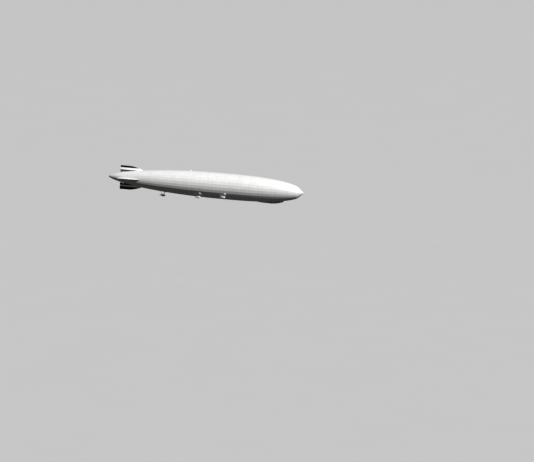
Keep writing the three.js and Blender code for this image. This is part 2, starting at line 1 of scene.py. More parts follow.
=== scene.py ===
"""A large rigid airship of about 1930, as a 1:10 model held in the air over a studio floor."""

import json
import math

import bpy
from mathutils import Matrix, Vector


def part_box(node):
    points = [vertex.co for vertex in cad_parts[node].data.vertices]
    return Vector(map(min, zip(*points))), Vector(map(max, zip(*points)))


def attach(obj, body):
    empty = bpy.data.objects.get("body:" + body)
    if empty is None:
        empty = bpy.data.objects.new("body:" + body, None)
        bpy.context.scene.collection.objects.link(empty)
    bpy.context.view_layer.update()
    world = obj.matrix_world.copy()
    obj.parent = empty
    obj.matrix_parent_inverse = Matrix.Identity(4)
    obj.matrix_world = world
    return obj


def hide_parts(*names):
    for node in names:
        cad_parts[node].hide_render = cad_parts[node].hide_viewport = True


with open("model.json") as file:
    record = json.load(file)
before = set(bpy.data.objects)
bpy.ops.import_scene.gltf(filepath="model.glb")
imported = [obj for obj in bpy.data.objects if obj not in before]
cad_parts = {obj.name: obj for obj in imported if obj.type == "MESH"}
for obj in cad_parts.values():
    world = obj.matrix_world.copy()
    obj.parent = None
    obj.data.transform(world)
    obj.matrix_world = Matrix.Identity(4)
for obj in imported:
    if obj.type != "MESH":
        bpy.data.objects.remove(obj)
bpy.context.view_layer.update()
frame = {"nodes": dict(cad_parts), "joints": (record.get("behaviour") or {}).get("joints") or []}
nodes = frame["nodes"]

# Hull cover
# The real cover is cotton cloth doped silver, laced over twenty-eight girders and a ring every five metres.
# Each length is drawn ring by ring from a circle of flat sides, then given its thickness inwards.
SCALE = 0.1
SIDES = 28
WIDEST = 0.42
STERN_FULLNESS = 0.62
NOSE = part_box("mooring_spindle")[1].x
HULL_RADIUS = 15.25 * SCALE
HULL_LENGTH = 236.6 * SCALE
BOW_POINT = 0.7
BOW_POINT_LENGTH = 9.5 * SCALE
BOW_CURVE = 3
SKIN = 0.01
BAY = 5 * SCALE
BAYS_PER_MAIN_RING = 3
TAPE_HALF = 0.02
TAPE_BLUR = 0.018
FLAT_SIDE_ANGLE = 9
COVER_TINT = (1.0, 0.997, 0.985, 1)


def hull_radius(x):
    """Distance from the hull's axis to its girders, at a place along it."""
    along = (NOSE - x) / HULL_LENGTH
    if along < WIDEST:
        drawn_in = BOW_POINT * max(0, 1 - (NOSE - x) / BOW_POINT_LENGTH) ** 2
        return HULL_RADIUS * math.sqrt(1 - (1 - along / WIDEST) ** BOW_CURVE) * (1 - drawn_in)
    aft = (along - WIDEST) / (1 - WIDEST)
    return HULL_RADIUS * max(0.0, 1 - aft**2) ** STERN_FULLNESS


def spaced(low, high, pitch):
    """Even places from low to high, about a pitch apart."""
    count = max(1, round((high - low) / pitch))
    return [low + (high - low) * step / count for step in range(count + 1)]


def clear_selection():
    """Comes before each new primitive, because an operator acts on all that is selected."""
    bpy.ops.object.select_all(action="DESELECT")


def choose(piece):
    clear_selection()
    bpy.context.view_layer.objects.active = piece
    piece.select_set(True)


def edit(piece):
    """Opens one piece in edit mode with all of it selected."""
    choose(piece)
    bpy.ops.object.mode_set(mode="EDIT")
    bpy.ops.mesh.select_mode(type="VERT")
    bpy.ops.mesh.select_all(action="SELECT")


def face_outwards(piece):
    edit(piece)
    bpy.ops.mesh.normals_make_consistent(inside=False)
    bpy.ops.object.mode_set(mode="OBJECT")
    return piece


def added(name):
    """The primitive that was just added, named, with its place in its mesh."""
    piece = bpy.context.object
    piece.name = name
    bpy.ops.object.transform_apply(location=True, rotation=True, scale=True)
    return piece


def with_modifier(piece, kind, **settings):
    """Adds a modifier to a piece, sets it and applies it."""
    modifier = piece.modifiers.new(kind, kind)
    for setting, value in settings.items():
        setattr(modifier, setting, value)
    choose(piece)
    bpy.ops.object.modifier_apply(modifier=modifier.name)
    return piece


def smooth(piece, degrees):
    choose(piece)
    bpy.ops.object.shade_smooth_by_angle(angle=math.radians(degrees))
    return piece


def ring_body(name, rings, sides=32, filled="both"):
    """A body about the X axis through rings of (x, radius), drawn by extruding a circle from ring to ring."""
    clear_selection()
    start, radius = rings[0]
    bpy.ops.mesh.primitive_circle_add(
        vertices=sides,
        radius=radius,
        fill_type="NGON" if filled == "both" else "NOTHING",
        location=(start, 0, 0),
        rotation=(0, math.pi / 2, 0),
    )
    piece = added(name)
    edit(piece)
    for (x, radius), (next_x, next_radius) in zip(rings, rings[1:]):
        bpy.ops.mesh.extrude_region_move(TRANSFORM_OT_translate={"value": (next_x - x, 0, 0)})
        grow = next_radius / radius
        bpy.ops.transform.resize(value=(1, grow, grow), center_override=(next_x, 0, 0))
    if filled == "end":
        bpy.ops.mesh.edge_face_add()
    bpy.ops.object.mode_set(mode="OBJECT")
    return face_outwards(piece)


def coat(piece, paint):
    piece.data.materials.clear()
    piece.data.materials.append(paint)


def dress(piece, body, paint, slot, *replaced):
    """Gives a finished piece its material and the body that it rides on. Its slot is not used."""
    if paint:
        coat(piece, paint)
    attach(piece, body)
    if replaced:
        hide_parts(*replaced)
    return piece


class Number:
    """A number that varies over a surface: the output of a shader node, with Python's operators."""

    def __init__(self, paint, socket):
        self.paint = paint
        self.socket = socket

    def do(self, operation, *others):
        return self.paint.node("Math", {"operation": operation}, dict(enumerate((self, *others))))

    def __add__(self, other):
        return self.do("ADD", other)

    def __sub__(self, other):
        return self.do("SUBTRACT", other)

    def __mul__(self, other):
        return self.do("MULTIPLY", other)

    def __truediv__(self, other):
        return self.do("DIVIDE", other)

    def __rsub__(self, other):
        return self.paint.node("Math", {"operation": "SUBTRACT"}, {0: other, 1: self})

    def __lt__(self, other):
        return self.do("LESS_THAN", other)

    def __gt__(self, other):
        return self.do("GREATER_THAN", other)

    __radd__ = __add__
    __rmul__ = __mul__


class Paint:
    """A material under construction: a Principled shader and the nodes that feed it."""

    def __init__(self, name, **sockets):
        self.material = bpy.data.materials.new(name)
        self.material.use_nodes = True
        self.tree = self.material.node_tree
        self.shader = self.tree.nodes["Principled BSDF"]
        self.feed(self.shader, {name.replace("_", " "): value for name, value in sockets.items()})

    def feed(self, node, sockets):
        for socket, value in sockets.items():
            if isinstance(value, Number):
                self.tree.links.new(value.socket, node.inputs[socket])
            else:
                node.inputs[socket].default_value = value

    def node(self, kind, settings, sockets, output=0):
        made = self.tree.nodes.new("ShaderNode" + kind)
        for setting, value in settings.items():
            setattr(made, setting, value)
        self.feed(made, sockets)
        return Number(self, made.outputs[output])

    def point(self, centre=(0, 0, 0), scale=(1, 1, 1)):
        """The place on the surface in the frame's metres, from a centre and stretched by a scale."""
        place = self.node("TexCoord", {}, {}, "Object")
        offset = tuple(-value * stretch for value, stretch in zip(centre, scale))
        return self.node("Mapping", {}, {"Vector": place, "Location": offset, "Scale": scale})

    def parts(self, point):
        first = self.node("SeparateXYZ", {}, {0: point})
        outputs = first.socket.node.outputs
        return [Number(self, outputs[axis]) for axis in "XYZ"]

    def mix(self, share, first, second):
        return self.node("Mix", {"data_type": "RGBA"}, {0: share, 6: first, 7: second}, 2)

    def soft_step(self, value, low, high):
        sockets = {"Value": value, "From Min": low, "From Max": high}
        return self.node("MapRange", {"interpolation_type": "SMOOTHSTEP"}, sockets)

    def near_line(self, value, half_width, blur):
        """One where a value is a whole number, zero past half_width from there."""
        offset = ((value + 0.5).do("FRACT") - 0.5).do("ABSOLUTE")
        return 1 - self.soft_step(offset, half_width, half_width + blur)

    def noise(self, point, scale, detail=2.0):
        return self.node("TexNoise", {}, {"Vector": point, "Scale": scale, "Detail": detail})

    def chance(self, number):
        return self.node("TexWhiteNoise", {"noise_dimensions": "1D"}, {"W": number})

    def finish(self, colour, roughness, height=None, distance=0.001):
        sockets = {"Base Color": colour, "Roughness": roughness}
        if height is not None:
            sockets["Normal"] = self.node("Bump", {}, {"Height": height, "Distance": distance})
        self.feed(self.shader, sockets)
        return self.material


BLACK = (0.0, 0.0, 0.0, 1)


def cover_paint():
    """Doped cloth: flat gores, lacing tapes on the girders, rings that show through, and soft stains."""
    paint = Paint("doped_cover", Metallic=0.1)
    point = paint.point()
    x, y, z = paint.parts(point)
    girder = y.do("ARCTAN2", z) * (SIDES / math.tau)
    station = x / BAY
    tape = paint.near_line(girder, TAPE_HALF, TAPE_BLUR)
    ring = paint.near_line(station, TAPE_HALF, TAPE_BLUR)
    main_ring = paint.near_line(station / BAYS_PER_MAIN_RING, 0.010, 0.008)
    tone = paint.chance(girder.do("FLOOR") * 7.31 + station.do("FLOOR") * 3.17)
    cloud = paint.noise(point, 1.6, 5.0)
    streak = paint.noise(paint.point(scale=(0.4, 6, 6)), 1.2, 4.0)
    weave = paint.noise(point, 160, 2.0)
    light = 0.60 + (tone - 0.5) * 0.025 + (cloud - 0.5) * 0.05 + (streak - 0.5) * 0.06
    light = light - tape * 0.06 - ring * 0.025 - main_ring * 0.04 + (weave - 0.5) * 0.015
    colour = paint.mix(light, BLACK, COVER_TINT)
    billow = (girder.do("FRACT") * math.pi).do("SINE") * (station.do("FRACT") * math.pi).do("SINE")
    height = billow * 0.5 + tape * 0.25 + ring * 0.2 + weave * 0.02
    return paint.finish(colour, 0.48 + (cloud - 0.5) * 0.16 + tape * 0.08, height, 0.006)


cover = cover_paint()
for node in sorted(name for name in nodes if name.startswith("hull_section_")):
    low, high = (corner.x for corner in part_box(node))
    hoops = [(x, hull_radius(x)) for x in spaced(low, high, BAY / 2)]
    section = ring_body(f"{node}_cover", hoops, SIDES, "none")
    with_modifier(section, "SOLIDIFY", thickness=SKIN, offset=-1)
    smooth(section, FLAT_SIDE_ANGLE)
    dress(section, "hull", cover, "hull_cover", node)

# Bow cap and tail cone
# The ends of the hull are the same cloth over closer hoops. The bow ends in the metal plate that carries the
# mooring spindle, and the stern runs out to a small round end.
BOW_HOOP = 0.03
BOW_PLATE = ((0.003, 0.9), (0.005, 0.7), (0.006, 0.3))
STERN_HOOP = 0.09
STERN_END = ((0.008, 0.8), (0.013, 0.5), (0.015, 0.15))
low, high = (corner.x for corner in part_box("bow_cap"))
hoops = [(x, hull_radius(x)) for x in spaced(low, high, BOW_HOOP)]
plate = hoops[-1][1]
hoops += [(high + out, plate * share) for out, share in BOW_PLATE]
bow = ring_body("bow_cap_cover", hoops, SIDES, "end")
low, high = (corner.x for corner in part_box("tail_cone"))
hoops = [(x, hull_radius(x)) for x in reversed(spaced(low, high, STERN_HOOP))]
tip = hoops[-1][1]
hoops += [(low - out, tip * share) for out, share in STERN_END]
stern = ring_body("tail_cone_cover", hoops, SIDES, "end")
for piece, node in ((bow, "bow_cap"), (stern, "tail_cone")):
    with_modifier(piece, "SOLIDIFY", thickness=SKIN, offset=-1)
    smooth(piece, FLAT_SIDE_ANGLE)
    dress(piece, "hull", cover, "hull_cover", node)

# Mooring spindle
# A steel spindle with a flat collar and a groove near its end, which locks into the cone of a mooring mast.
# It is turned on a lathe, and is drawn from the same rings.
SPINDLE_RADIUS = 0.014
COLLAR_RADIUS = 0.03
COLLAR_LENGTH = 0.008
COLLAR_EDGE = 0.0015
COLLAR_FILLET = 0.003
GROOVE_DEPTH = 0.002
STEEL_TINT = (0.95, 0.96, 1.0, 1)
low, high = (corner.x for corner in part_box("mooring_spindle"))
collar = low + COLLAR_LENGTH
spindle = ring_body("mooring_spindle_steel", [
    (low, COLLAR_RADIUS), (collar - COLLAR_EDGE, COLLAR_RADIUS), (collar, COLLAR_RADIUS - COLLAR_EDGE),
    (collar, SPINDLE_RADIUS + COLLAR_FILLET), (collar + COLLAR_FILLET, SPINDLE_RADIUS),
    (high - 0.006, SPINDLE_RADIUS), (high - 0.005, SPINDLE_RADIUS - GROOVE_DEPTH),
    (high - 0.003, SPINDLE_RADIUS - GROOVE_DEPTH), (high - 0.002, SPINDLE_RADIUS),
    (high - 0.001, SPINDLE_RADIUS), (high, SPINDLE_RADIUS - 0.001),
])
smooth(spindle, 30)


def grained(name, tint, light, roughness, grain, depth=None, stretch=(1, 1, 1), **sockets):
    """A paint of one tint, with a fine grain in its light, its roughness and, to a depth, its height."""
    paint = Paint(name, **sockets)
    grain = paint.noise(paint.point(scale=stretch), *grain)
    colour = paint.mix(light[0] + grain * light[1], BLACK, tint)
    paint.finish(colour, roughness[0] + grain * roughness[1], grain if depth else None, depth)
    return paint


steel = grained(
    "turned_steel", STEEL_TINT, (0.5, 0.2), (0.3, 0.15), (30, 3.0), 0.0004, (30, 1, 1), Metallic=0.9)
dress(spindle, "hull", steel.material, "nose_metal", "mooring_spindle")

# Ridge hood
# A light fairing over the gas vents on the ridge of the hull, of doped cloth on a frame like the cover. It is
# a ball pressed flat and cut off just under the skin.
BALL_SIDES = 40
BALL_RINGS = 24
low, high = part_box("ridge_hood")
centre = (low + high) / 2
base = hull_radius(centre.x) - SKIN
clear_selection()
bpy.ops.mesh.primitive_uv_sphere_add(
    segments=BALL_SIDES, ring_count=BALL_RINGS, radius=0.5, location=(centre.x, 0, hull_radius(centre.x)),
    scale=(high.x - low.x, high.y - low.y, 2 * (high.z - hull_radius(centre.x))),
)
hood = added("ridge_hood_cover")
edit(hood)
bpy.ops.mesh.bisect(plane_co=(0, 0, base), plane_no=(0, 0, 1), use_fill=True, clear_inner=True)
bpy.ops.object.mode_set(mode="OBJECT")
smooth(face_outwards(hood), 30)
dress(hood, "hull", cover, "hull_cover", "ridge_hood")

# Tail fins
# Four thick cantilever fins of girders under doped cloth. The upright pair is painted in dark and white
# bands. One is drawn as a straight tube whose rows of corners then take the fin's section, and is copied
# round the hull.
FIN_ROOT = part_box("upper_fin")[1].x
FIN_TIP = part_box("upper_fin")[1].z
FIN_ROOT_RADII = (0.56, 0.8)
FIN_CURVE_START = 1.01
FIN_CURVE = 0.625
FIN_CURVE_ROWS = 14
FIN_NOSE_CURVE = 2.4
FIN_BACK_THINNING = 0.25
FIN_BACK_FLAT = 1.02
FIN_NOSE_SPREAD = 6
FIN_COVER = 0.002
FIN_TIP_EDGE = 0.2
RIB_STEP = 0.125
SPAR_STEP = 0.25
FIN_TIP_X = NOSE - 210.6 * SCALE
HINGE_X = next(joint["pos_m"][0] for joint in frame["joints"] if joint["name"] == "upper_rudder_turn")
HINGE_GAP = 0.006
AXIS_THICKNESS = 0.25
TIP_THICKNESS = 0.044
SURFACE_NOSE = 0.375
WHITE_BAND = (0.935, 1.178)
LOWER_BAND = (0.885, 1.085)
TAIL_SIDES = {"upper": 0, "starboard": 90, "lower": 180, "port": 270}
WHITE = (0.90, 0.90, 0.89, 1)
SILVER = (0.64, 0.64, 0.63, 1)
# Black for the black bands, and also for the lower fin's red band, which is painted black as painted shade.
FIN_BLACK_AND_SHADED_RED = (0.014, 0.014, 0.016, 1)
FIN_DARK = (0.1, 0.1, 0.102, 1)


def swept(name, rows, sides, corner):
    """A closed skin: a tube extruded row by row, whose corners then go where corner(row, turn) says."""
    clear_selection()
    bpy.ops.mesh.primitive_circle_add(vertices=sides, radius=1, fill_type="NGON")
    piece = added(name)
    edit(piece)
    for _ in range(rows - 1):
        bpy.ops.mesh.extrude_region_move(TRANSFORM_OT_translate={"value": (0, 0, 1)})
    bpy.ops.object.mode_set(mode="OBJECT")
    for vertex in piece.data.vertices:
        turn = math.atan2(vertex.co.y, vertex.co.x) / math.tau % 1
        vertex.co = corner(round(vertex.co.z), round(turn * sides) % sides / sides)
    return face_outwards(piece)


def fin_thickness(radius):
    return AXIS_THICKNESS + (TIP_THICKNESS - AXIS_THICKNESS) * radius / FIN_TIP


fin_radii = [*FIN_ROOT_RADII, FIN_CURVE_START]
for step in range(1, FIN_CURVE_ROWS + 1):
    rise = math.sin(step * math.pi / (2 * FIN_CURVE_ROWS))
    fin_radii.append(FIN_CURVE_START + (FIN_TIP - FIN_CURVE_START) * rise)


def fin_corner(row, turn):
    radius = fin_radii[row]
    up = max(0, (radius - FIN_CURVE_START) / (FIN_TIP - FIN_CURVE_START))
    front = FIN_TIP_X + (FIN_ROOT - FIN_TIP_X) * (1 - up) ** FIN_CURVE
    half = fin_thickness(radius) / 2
    back = HINGE_X + 2 * SURFACE_NOSE * half + HINGE_GAP
    around = turn * math.tau
    chord = min(1, FIN_BACK_FLAT * (0.5 + 0.5 * math.cos(around)))
    if chord < 0.5:
        share = 1 - (1 - 2 * chord) ** FIN_NOSE_CURVE
    else:
        share = 1 - FIN_BACK_THINNING * (2 * chord - 1) ** 2
    rounded = math.sqrt(max(0.0, 1 - (up**12))) * (1 - FIN_TIP_EDGE) + FIN_TIP_EDGE
    side = max(-1, min(1, FIN_NOSE_SPREAD * math.sin(around)))
    return front + (back - front) * chord, side * (half * share + FIN_COVER) * rounded, radius


def fin_paint(name, banded):
    """Doped cloth over ribs and spars, plain or with the painted bands of the upright fins."""
    paint = Paint(name, Metallic=0.06)
    point = paint.point()
    x, y, z = paint.parts(point)
    span = z if banded else y
    rib = paint.near_line(span / RIB_STEP, 0.05, 0.05)
    spar = paint.near_line(x / SPAR_STEP, 0.025, 0.025)
    cloud = paint.noise(point, 3, 4.0)
    streak = paint.noise(paint.point(scale=(0.6, 8, 8)), 1.6, 3.0)
    light = 0.97 + (cloud - 0.5) * 0.08 + (streak - 0.5) * 0.07 - rib * 0.06 - spar * 0.05
    colour = SILVER
    if banded:
        upper = paint.mix(z > WHITE_BAND[1], WHITE, FIN_BLACK_AND_SHADED_RED)
        upper = paint.mix(z < WHITE_BAND[0], upper, FIN_DARK)
        # The lower fin's outer band is red, like the upper fin's inner band, but here it is painted black:
        # painted shade, the red as it looks in that fin's shadow under the hull.
        light_band = (z < -LOWER_BAND[0]) * (z > -LOWER_BAND[1])
        lower = paint.mix(light_band, FIN_BLACK_AND_SHADED_RED, WHITE)
        colour = paint.mix(z > 0, lower, upper)
    colour = paint.mix(light, BLACK, colour)
    return paint.finish(colour, 0.5 + (cloud - 0.5) * 0.15, rib * 0.6 + spar * 0.4, 0.002)


banded_cover = fin_paint("banded_fin_cover", True)
plain_cover = fin_paint("plain_fin_cover", False)


def copied(piece, name, matrix):
    """A copy with its own mesh, moved by a matrix that goes into that mesh."""
    twin = piece.copy()
    twin.data = piece.data.copy()
    twin.name = name
    bpy.context.collection.objects.link(twin)
    twin.data.transform(matrix)
    return twin


first_fin = smooth(swept("upper_fin_cover", len(fin_radii), 40, fin_corner), 35)
for side, turn in TAIL_SIDES.items():
    fin = first_fin if turn == 0 else copied(
        first_fin, f"{side}_fin_cover", Matrix.Rotation(math.radians(turn), 4, "X"))
    dress(fin, "hull", banded_cover if turn % 180 == 0 else plain_cover, "fin_cover", f"{side}_fin")

# Rudders and elevators
# Each fin carries one hinged surface of the same cloth, with a round leading edge, three slots and a steel
# pin. The pin turns in three brackets on the back of the fin, which the slots clear through the whole swing.
BRACKET_RADII = (0.79, 1.05, 1.31)
PIN_RADIUS = 0.005
PIN_ENDS = (0.72, 1.40)
SURFACE_CHORD = 0.46
SURFACE_INNER = 0.70
SURFACE_SLOPE = 0.2
TRAILING_EDGE = 0.004
FLANK_TURN = 0.23
SURFACE_ROWS = (
    (0, 0.5), (0.003, 0.85), (0.009, 1), (0.25, 1), (0.5, 1), (0.75, 1), (0.991, 1), (0.997, 0.85), (1, 0.5),
)
SLOT_HALF = 0.017
SLOT_DEPTH = 0.024
SLOT_ARC = 0.3
SLOT_REACH = 0.11
SLOT_FAR_HALF = 0.058
BOSS_RADIUS = 0.012
BOSS_LENGTH = 0.014
ARM_PAST_GAP = 0.019
ARM_START = 0.004
ARM_SECTION = (0.018, 0.012)
BRACKET_TINT = (0.9, 0.92, 0.95, 1)
STANDING = Matrix.Rotation(-math.pi / 2, 4, "Y")


def surface_corner(row, turn):
    share, fullness = SURFACE_ROWS[row]
    nose = SURFACE_NOSE * fin_thickness(SURFACE_INNER + (FIN_TIP - SURFACE_INNER) * share)
    around = (turn + 0.5) % 1 - 0.5
    if abs(around) <= 0.25:
        x = nose * math.cos(around * math.tau)
        y = nose * math.sin(around * math.tau)
    else:
        back = min(1, (abs(around) - 0.25) / FLANK_TURN)
        x = -SURFACE_CHORD * back
        y = math.copysign(nose + (TRAILING_EDGE - nose) * back, around)
    if abs(around) == 0.5:
        y = 0
    inner = SURFACE_INNER + SURFACE_SLOPE * x
    return x, y * fullness, inner + (FIN_TIP - inner) * share


def slot_corner(row, turn):
    around = (turn + 0.5) % 1 - 0.5
    z = (row - 0.5) * SLOT_DEPTH
    if abs(around) > SLOT_ARC:
        return SLOT_HALF * math.cos(around * math.tau), SLOT_HALF * math.sin(around * math.tau), z
    return SLOT_REACH, SLOT_FAR_HALF * around / SLOT_ARC, z


def joined(pieces, name):
    choose(pieces[0])
    for piece in pieces:
        piece.select_set(True)
    bpy.ops.object.join()
    whole = bpy.context.object
    whole.name = name
    return whole


def cut(piece, cutter, operation="DIFFERENCE"):
    with_modifier(piece, "BOOLEAN", object=cutter, operation=operation, solver="EXACT")
    bpy.data.objects.remove(cutter)
    return piece


def bevelled(name, offset):
    """The primitive that was just added, with all its edges rounded."""
    piece = added(name)
    edit(piece)
    bpy.ops.mesh.bevel(offset=offset, segments=2)
    bpy.ops.object.mode_set(mode="OBJECT")
    return piece


bracket_steel = grained(
    "bracket_steel", BRACKET_TINT, (0.42, 0.2), (0.4, 0.2), (220, 3.0), 0.0004, Metallic=0.7)
first_surface = swept("surface_cover", len(SURFACE_ROWS), 48, surface_corner)
brackets = []
for radius in BRACKET_RADII:
    slot = swept("slot", 2, 20, slot_corner)
    slot.data.transform(Matrix.Translation((0, 0, radius)))
    cut(first_surface, slot)
    clear_selection()
    bpy.ops.mesh.primitive_cylinder_add(
        vertices=24, radius=BOSS_RADIUS, depth=BOSS_LENGTH, location=(0, 0, radius))
    brackets.append(bevelled("boss", 0.0015))
    reach = SURFACE_NOSE * fin_thickness(radius) + ARM_PAST_GAP
    clear_selection()
    bpy.ops.mesh.primitive_cube_add(
        size=1, location=(reach / 2 + ARM_START, 0, radius), scale=(reach, *ARM_SECTION))
    brackets.append(bevelled("arm", 0.002))
first_brackets = smooth(joined(brackets, "first_brackets"), 30)
first_pin = ring_body("first_pin", [
    (PIN_ENDS[0], PIN_RADIUS - 0.001), (PIN_ENDS[0] + 0.001, PIN_RADIUS),
    (PIN_ENDS[1] - 0.001, PIN_RADIUS), (PIN_ENDS[1], PIN_RADIUS - 0.001),
], 24)
first_pin.data.transform(STANDING)
smooth(first_surface, 30)
smooth(first_pin, 30)
for side, turn in TAIL_SIDES.items():
    upright = turn % 180 == 0
    surface = f"{side}_rudder" if upright else f"{side}_elevator"
    turned = Matrix.Rotation(math.radians(turn), 4, "X")
    place = turned @ Matrix.Translation((HINGE_X, 0, 0))
    skin = copied(first_surface, f"{surface}_cloth", place)
    skin.data.materials.append(banded_cover if upright else plain_cover)
    pin = copied(first_pin, f"{surface}_pin", place)
    pin.data.materials.append(bracket_steel.material)
    dress(joined([skin, pin], f"{surface}_cover"), surface, None, "fin_cover", surface)
    hinge = copied(first_brackets, f"{side}_hinge_brackets", place)
    dress(hinge, "hull", bracket_steel.material, "strut_metal")
for template in (first_surface, first_brackets, first_pin):
    bpy.data.objects.remove(template)

# Engine cars
# Egg-shaped cars of riveted aluminium sheet, painted silver, each for one engine and a mechanic. One is drawn
# from rings about its own axis with its fittings, and is copied to the five places where the cars hang.
CARS = ("forward_port", "forward_starboard", "middle_port", "middle_starboard", "aft_centre")
CAR_RADIUS = 0.12
CAR_FRONT = 0.29
CAR_WIDEST = 0.07
CAR_TAIL = -0.32
CAR_SEAM = 0.1
CAR_GORES = 12
CAR_RIM = ((0.286, 0.002), (0.29, -0.002), (0.29, -0.005), (0.286, -0.008), (0.272, -0.009))
CORE_ENDS = (0.272, 0.2745)
CORE_INSET = 0.0095
CORE_MESH = 0.004
CORE_TINT = (1, 0.95, 0.9, 1)
SLAT_PITCH = 0.0115
SLAT_X = 0.281
SLAT_CHORD = 0.0085
SLAT_THICKNESS = 0.0012
SLAT_LEAN = math.radians(-35)
PORTHOLES = (-0.02, 0.065, 0.15)
PORTHOLE_TURN = 68
PORTHOLE_RADIUS = 0.016
PORTHOLE_RIM = 0.0018
PORTHOLE_PANE = ((-0.0006, 0.015), (0.0006, 0.015), (0.001, 0.013))
PORTHOLE_TINT = (0.8, 0.9, 1, 1)
EXHAUST = ((0.0, 0.03, 0.105), (-0.02, 0.032, 0.125), (-0.045, 0.034, 0.132), (-0.1, 0.035, 0.133))
EXHAUST_RADIUS = 0.006
CAR_HOOPS = (-0.24, -0.12, 0.0, 0.12, 0.22)
CAR_HOOP_HALF = 0.004


def car_centre(car):
    low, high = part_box(f"{car}_car")
    return Vector((low.x - CAR_TAIL, (low.y + high.y) / 2, (low.z + high.z) / 2))


def car_radius(x):
    if x > CAR_WIDEST:
        return CAR_RADIUS * math.sqrt(1 - 0.75 * ((x - CAR_WIDEST) / (CAR_FRONT - CAR_WIDEST)) ** 2)
    return CAR_RADIUS * (1 - 0.78 * ((CAR_WIDEST - x) / (CAR_WIDEST - CAR_TAIL)) ** 1.9)


def tube(name, points, radius, sides=8):
    """A round bar along a line of points, drawn as a curve and then made a mesh."""
    clear_selection()
    curve = bpy.data.curves.new(name, "CURVE")
    curve.dimensions = "3D"
    curve.bevel_depth = radius
    curve.bevel_resolution = max(0, sides // 2 - 2)
    curve.use_fill_caps = True
    line = curve.splines.new("POLY")
    line.points.add(len(points) - 1)
    for place, point in zip(line.points, points):
        place.co = (*point, 1)
    piece = bpy.data.objects.new(name, curve)
    bpy.context.collection.objects.link(piece)
    choose(piece)
    bpy.ops.object.convert(target="MESH")
    edit(piece)
    bpy.ops.mesh.remove_doubles(threshold=1e-6)
    bpy.ops.object.mode_set(mode="OBJECT")
    return smooth(face_outwards(piece), 40)


def car_paint(car, centre):
    """Riveted sheet: seams along and round the car, rivets beside them, and oil streaks towards the tail."""
    paint = Paint(f"{car}_sheet", Metallic=0.35)
    point = paint.point(centre)
    x, y, z = paint.parts(point)
    gore = y.do("ARCTAN2", z) * (CAR_GORES / math.tau)
    seam = paint.near_line(gore, 0.012, 0.01)
    hoop = paint.near_line(x / CAR_SEAM, 0.02, 0.012)
    rivet_row = paint.near_line(gore, 0.06, 0.01) * paint.near_line(x / 0.008, 0.18, 0.1)
    rivet_hoop = paint.near_line(x / CAR_SEAM, 0.06, 0.01) * paint.near_line(gore * 8, 0.18, 0.1)
    oil = paint.noise(paint.point(centre, (1.5, 14, 14)), 2.2, 4.0)
    aft = paint.soft_step(x, 0.1, -0.3)
    light = 0.62 + (oil - 0.5) * 0.1 - seam * 0.13 - hoop * 0.1 - aft * oil * 0.18
    height = rivet_row * 0.6 + rivet_hoop * 0.6 - seam * 0.4 - hoop * 0.3
    return paint.finish(paint.mix(light, BLACK, COVER_TINT), 0.4 + oil * 0.15, height, 0.0012)


# The radiator core is a flat disc behind the shutter slats. The cells between its mesh lines are painted near
# black as painted shade of the deep core, and the mesh lines are a little lighter.
painted_shade_core = Paint("radiator_core", Metallic=0.3)
core_point = painted_shade_core.point()
_, core_y, core_z = painted_shade_core.parts(core_point)
core = painted_shade_core.near_line(core_y / CORE_MESH, 0.2, 0.1) + painted_shade_core.near_line(core_z / CORE_MESH, 0.2, 0.1)
painted_shade_core.finish(painted_shade_core.mix(core * 0.06 + 0.02, BLACK, CORE_TINT), 0.6 - core * 0.1, core, 0.001)
# The porthole panes are opaque and near black under a glossy coat: painted shade for the dark inside of the
# car, which is not drawn behind them.
painted_shade_porthole_glass = grained(
    "painted_shade_porthole_glass", PORTHOLE_TINT, (0.01, 0.05), (0.06, 0.08), (40, 3.0), Coat_Weight=0.6)

shell_x = [CAR_TAIL, -0.3, -0.27, -0.23, -0.19, -0.15, -0.11, -0.07, -0.03, 0.01, 0.04, 0.07]
shell_x += [0.1, 0.13, 0.16, 0.19, 0.215, 0.235, 0.25, 0.265, 0.278]
lip = car_radius(CAR_FRONT)
shell_rings = [(x, car_radius(x)) for x in shell_x] + [(x, lip + out) for x, out in CAR_RIM]
first_shell = ring_body("car_shell", shell_rings)
core_disc = ring_body("core", [(x, lip - CORE_INSET) for x in CORE_ENDS])
core_disc.data.materials.append(painted_shade_core.material)
slats = []
for row in range(-4, 5):
    z = row * SLAT_PITCH
    half = math.sqrt(max(0, (lip - 0.009) ** 2 - z**2))
    clear_selection()
    bpy.ops.mesh.primitive_cube_add(
        size=1, location=(SLAT_X, 0, z), rotation=(0, SLAT_LEAN, 0),
        scale=(SLAT_CHORD, 2 * half, SLAT_THICKNESS))
    slats.append(added("slat"))
grille = joined(slats, "grille")
rings = []
panes = []
for side in (-1, 1):
    for x in PORTHOLES:
        lean = math.atan2(car_radius(x - 0.001) - car_radius(x + 0.001), 0.002)
        place = Matrix.Translation((x, 0, 0)) @ Matrix.Rotation(math.radians(-side * PORTHOLE_TURN), 4, "X")
        place @= Matrix.Translation((0, 0, car_radius(x))) @ Matrix.Rotation(lean, 4, "Y")
        pane = ring_body("pane", PORTHOLE_PANE, 24)
        pane.data.transform(place @ STANDING)
        pane.data.materials.append(painted_shade_porthole_glass.material)
        clear_selection()
        bpy.ops.mesh.primitive_torus_add(
            major_radius=PORTHOLE_RADIUS, minor_radius=PORTHOLE_RIM, major_segments=24, minor_segments=8)
        ring = added("ring")
        ring.data.transform(place)
        panes.append(pane)
        rings.append(ring)
exhausts = []
for side in (-1, 1):
    exhausts.append(tube("exhaust", [(x, side * out, up) for x, out, up in EXHAUST], EXHAUST_RADIUS, 12))
hoops = []
for x in CAR_HOOPS:
    inner = car_radius(x) - 0.001
    outer = car_radius(x) + 0.0015
    back = x - CAR_HOOP_HALF
    front = x + CAR_HOOP_HALF
    hoops.append(ring_body("hoop", [(back, inner), (back, outer), (front, outer), (front, inner)]))
sheet_parts = rings + exhausts + hoops + [grille]
